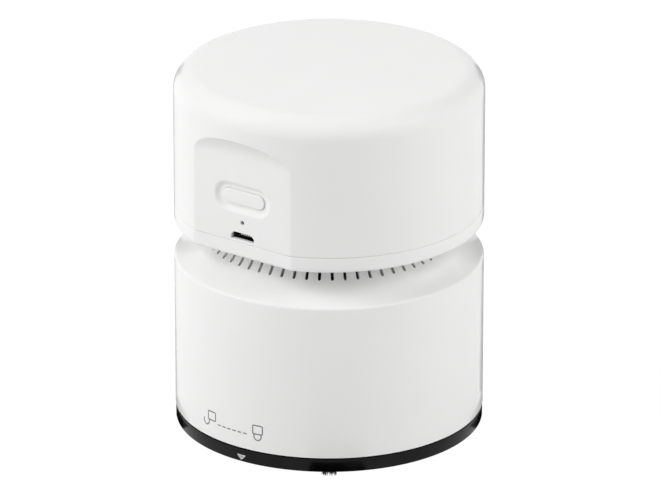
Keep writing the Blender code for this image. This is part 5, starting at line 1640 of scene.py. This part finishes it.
# start and end in degrees from the front, and the outer radius
SHADOW_SHEETS = ((-9, 16, 57 * MM), (84, 125, 47 * MM), (-125, -84, 47 * MM))


def card_material():
    finish = Finish("card_black", base_color=(0.0, 0.0, 0.0, 1), roughness=1.0)
    finish.shader.inputs["Specular IOR Level"].default_value = 0.0
    return finish.material


def card(name, corners):
    mesh = bpy.data.meshes.new(name)
    mesh.from_pydata(corners, [], [list(range(len(corners)))])
    mesh.materials.append(black_card)
    obj = bpy.data.objects.new(name, mesh)
    bpy.context.scene.collection.objects.link(obj)
    obj.visible_camera = obj.visible_diffuse = obj.visible_transmission = obj.visible_shadow = False


def strip(name, ends):
    left, right = ends
    corners = [(left, CARD_FOOT), (right, CARD_FOOT), (right, Z_TOP), (left, Z_TOP)]
    card(name, [(x, CARD_Y, z) for x, z in corners])


black_card = card_material()
strip("card_left", CARD_LEFT)
strip("card_right", CARD_RIGHT)
# painted shadow: black sheets round the ring, seen only in its gloss
for number, (start, end, outer) in enumerate(SHADOW_SHEETS):
    near = arc((0, 0), SHEET_INNER, start - 90, end - 90, 16)
    far = arc((0, 0), outer, end - 90, start - 90, 16)
    card(f"painted_shadow_sheet_{number + 1}", [(x, y, SHEET_RISE) for x, y in near + far])
print("cards stand behind and before the object")

# %% [markdown]
# ## Backdrop
# The background is pure white in the photograph. A brighter lamp would burn out the shell, so the whiteness
# comes from the floor and the world instead: rays from the camera, and the mirror rays that show the room
# in the gloss ring, see plain white, while the floor still takes a little of the object's shadow.

# %% Floor and world
FLOOR_HALF = 3.0
FLOOR_WHITE = 1.05
ROOM_WHITE = 1.02
SHADOW_SHARE = 0.05
WORLD_LEVEL = 0.16


def seen_directly(tree):
    """1 for rays from the camera and for mirror and glass rays."""
    rays = tree.nodes.new("ShaderNodeLightPath")
    total = None
    for name in ("Is Camera Ray", "Is Glossy Ray", "Is Transmission Ray"):
        if total is None:
            total = rays.outputs[name]
            continue
        both = tree.nodes.new("ShaderNodeMath")
        both.operation = "MAXIMUM"
        tree.links.new(total, both.inputs[0])
        tree.links.new(rays.outputs[name], both.inputs[1])
        total = both.outputs[0]
    return total


def floor_material():
    finish = Finish("floor", base_color=(0.8, 0.8, 0.8, 1), roughness=0.9)
    seen = Signal(finish, seen_directly(finish.tree))
    white = finish.node("ShaderNodeEmission", sockets={"Color": (1, 1, 1, 1), "Strength": FLOOR_WHITE})
    lit = Signal(finish, finish.shader.outputs[0])
    mixed = finish.node("ShaderNodeMixShader", sockets={0: seen * (1 - SHADOW_SHARE), 1: lit, 2: white})
    finish.tree.links.new(mixed.socket, finish.tree.nodes["Material Output"].inputs["Surface"])
    return finish.material


bpy.ops.mesh.primitive_plane_add(size=2 * FLOOR_HALF)
floor = bpy.context.object
floor.name = "floor"
floor.data.materials.append(floor_material())

world = bpy.data.worlds.new("room")
world.use_nodes = True
bpy.context.scene.world = world
background = world.node_tree.nodes["Background"]
lift = world.node_tree.nodes.new("ShaderNodeMapRange")
lift.inputs["To Min"].default_value = WORLD_LEVEL
lift.inputs["To Max"].default_value = ROOM_WHITE
world.node_tree.links.new(seen_directly(world.node_tree), lift.inputs["Value"])
world.node_tree.links.new(lift.outputs["Result"], background.inputs["Strength"])
background.inputs["Color"].default_value = (1, 1, 1, 1)
print("floor and world ready")
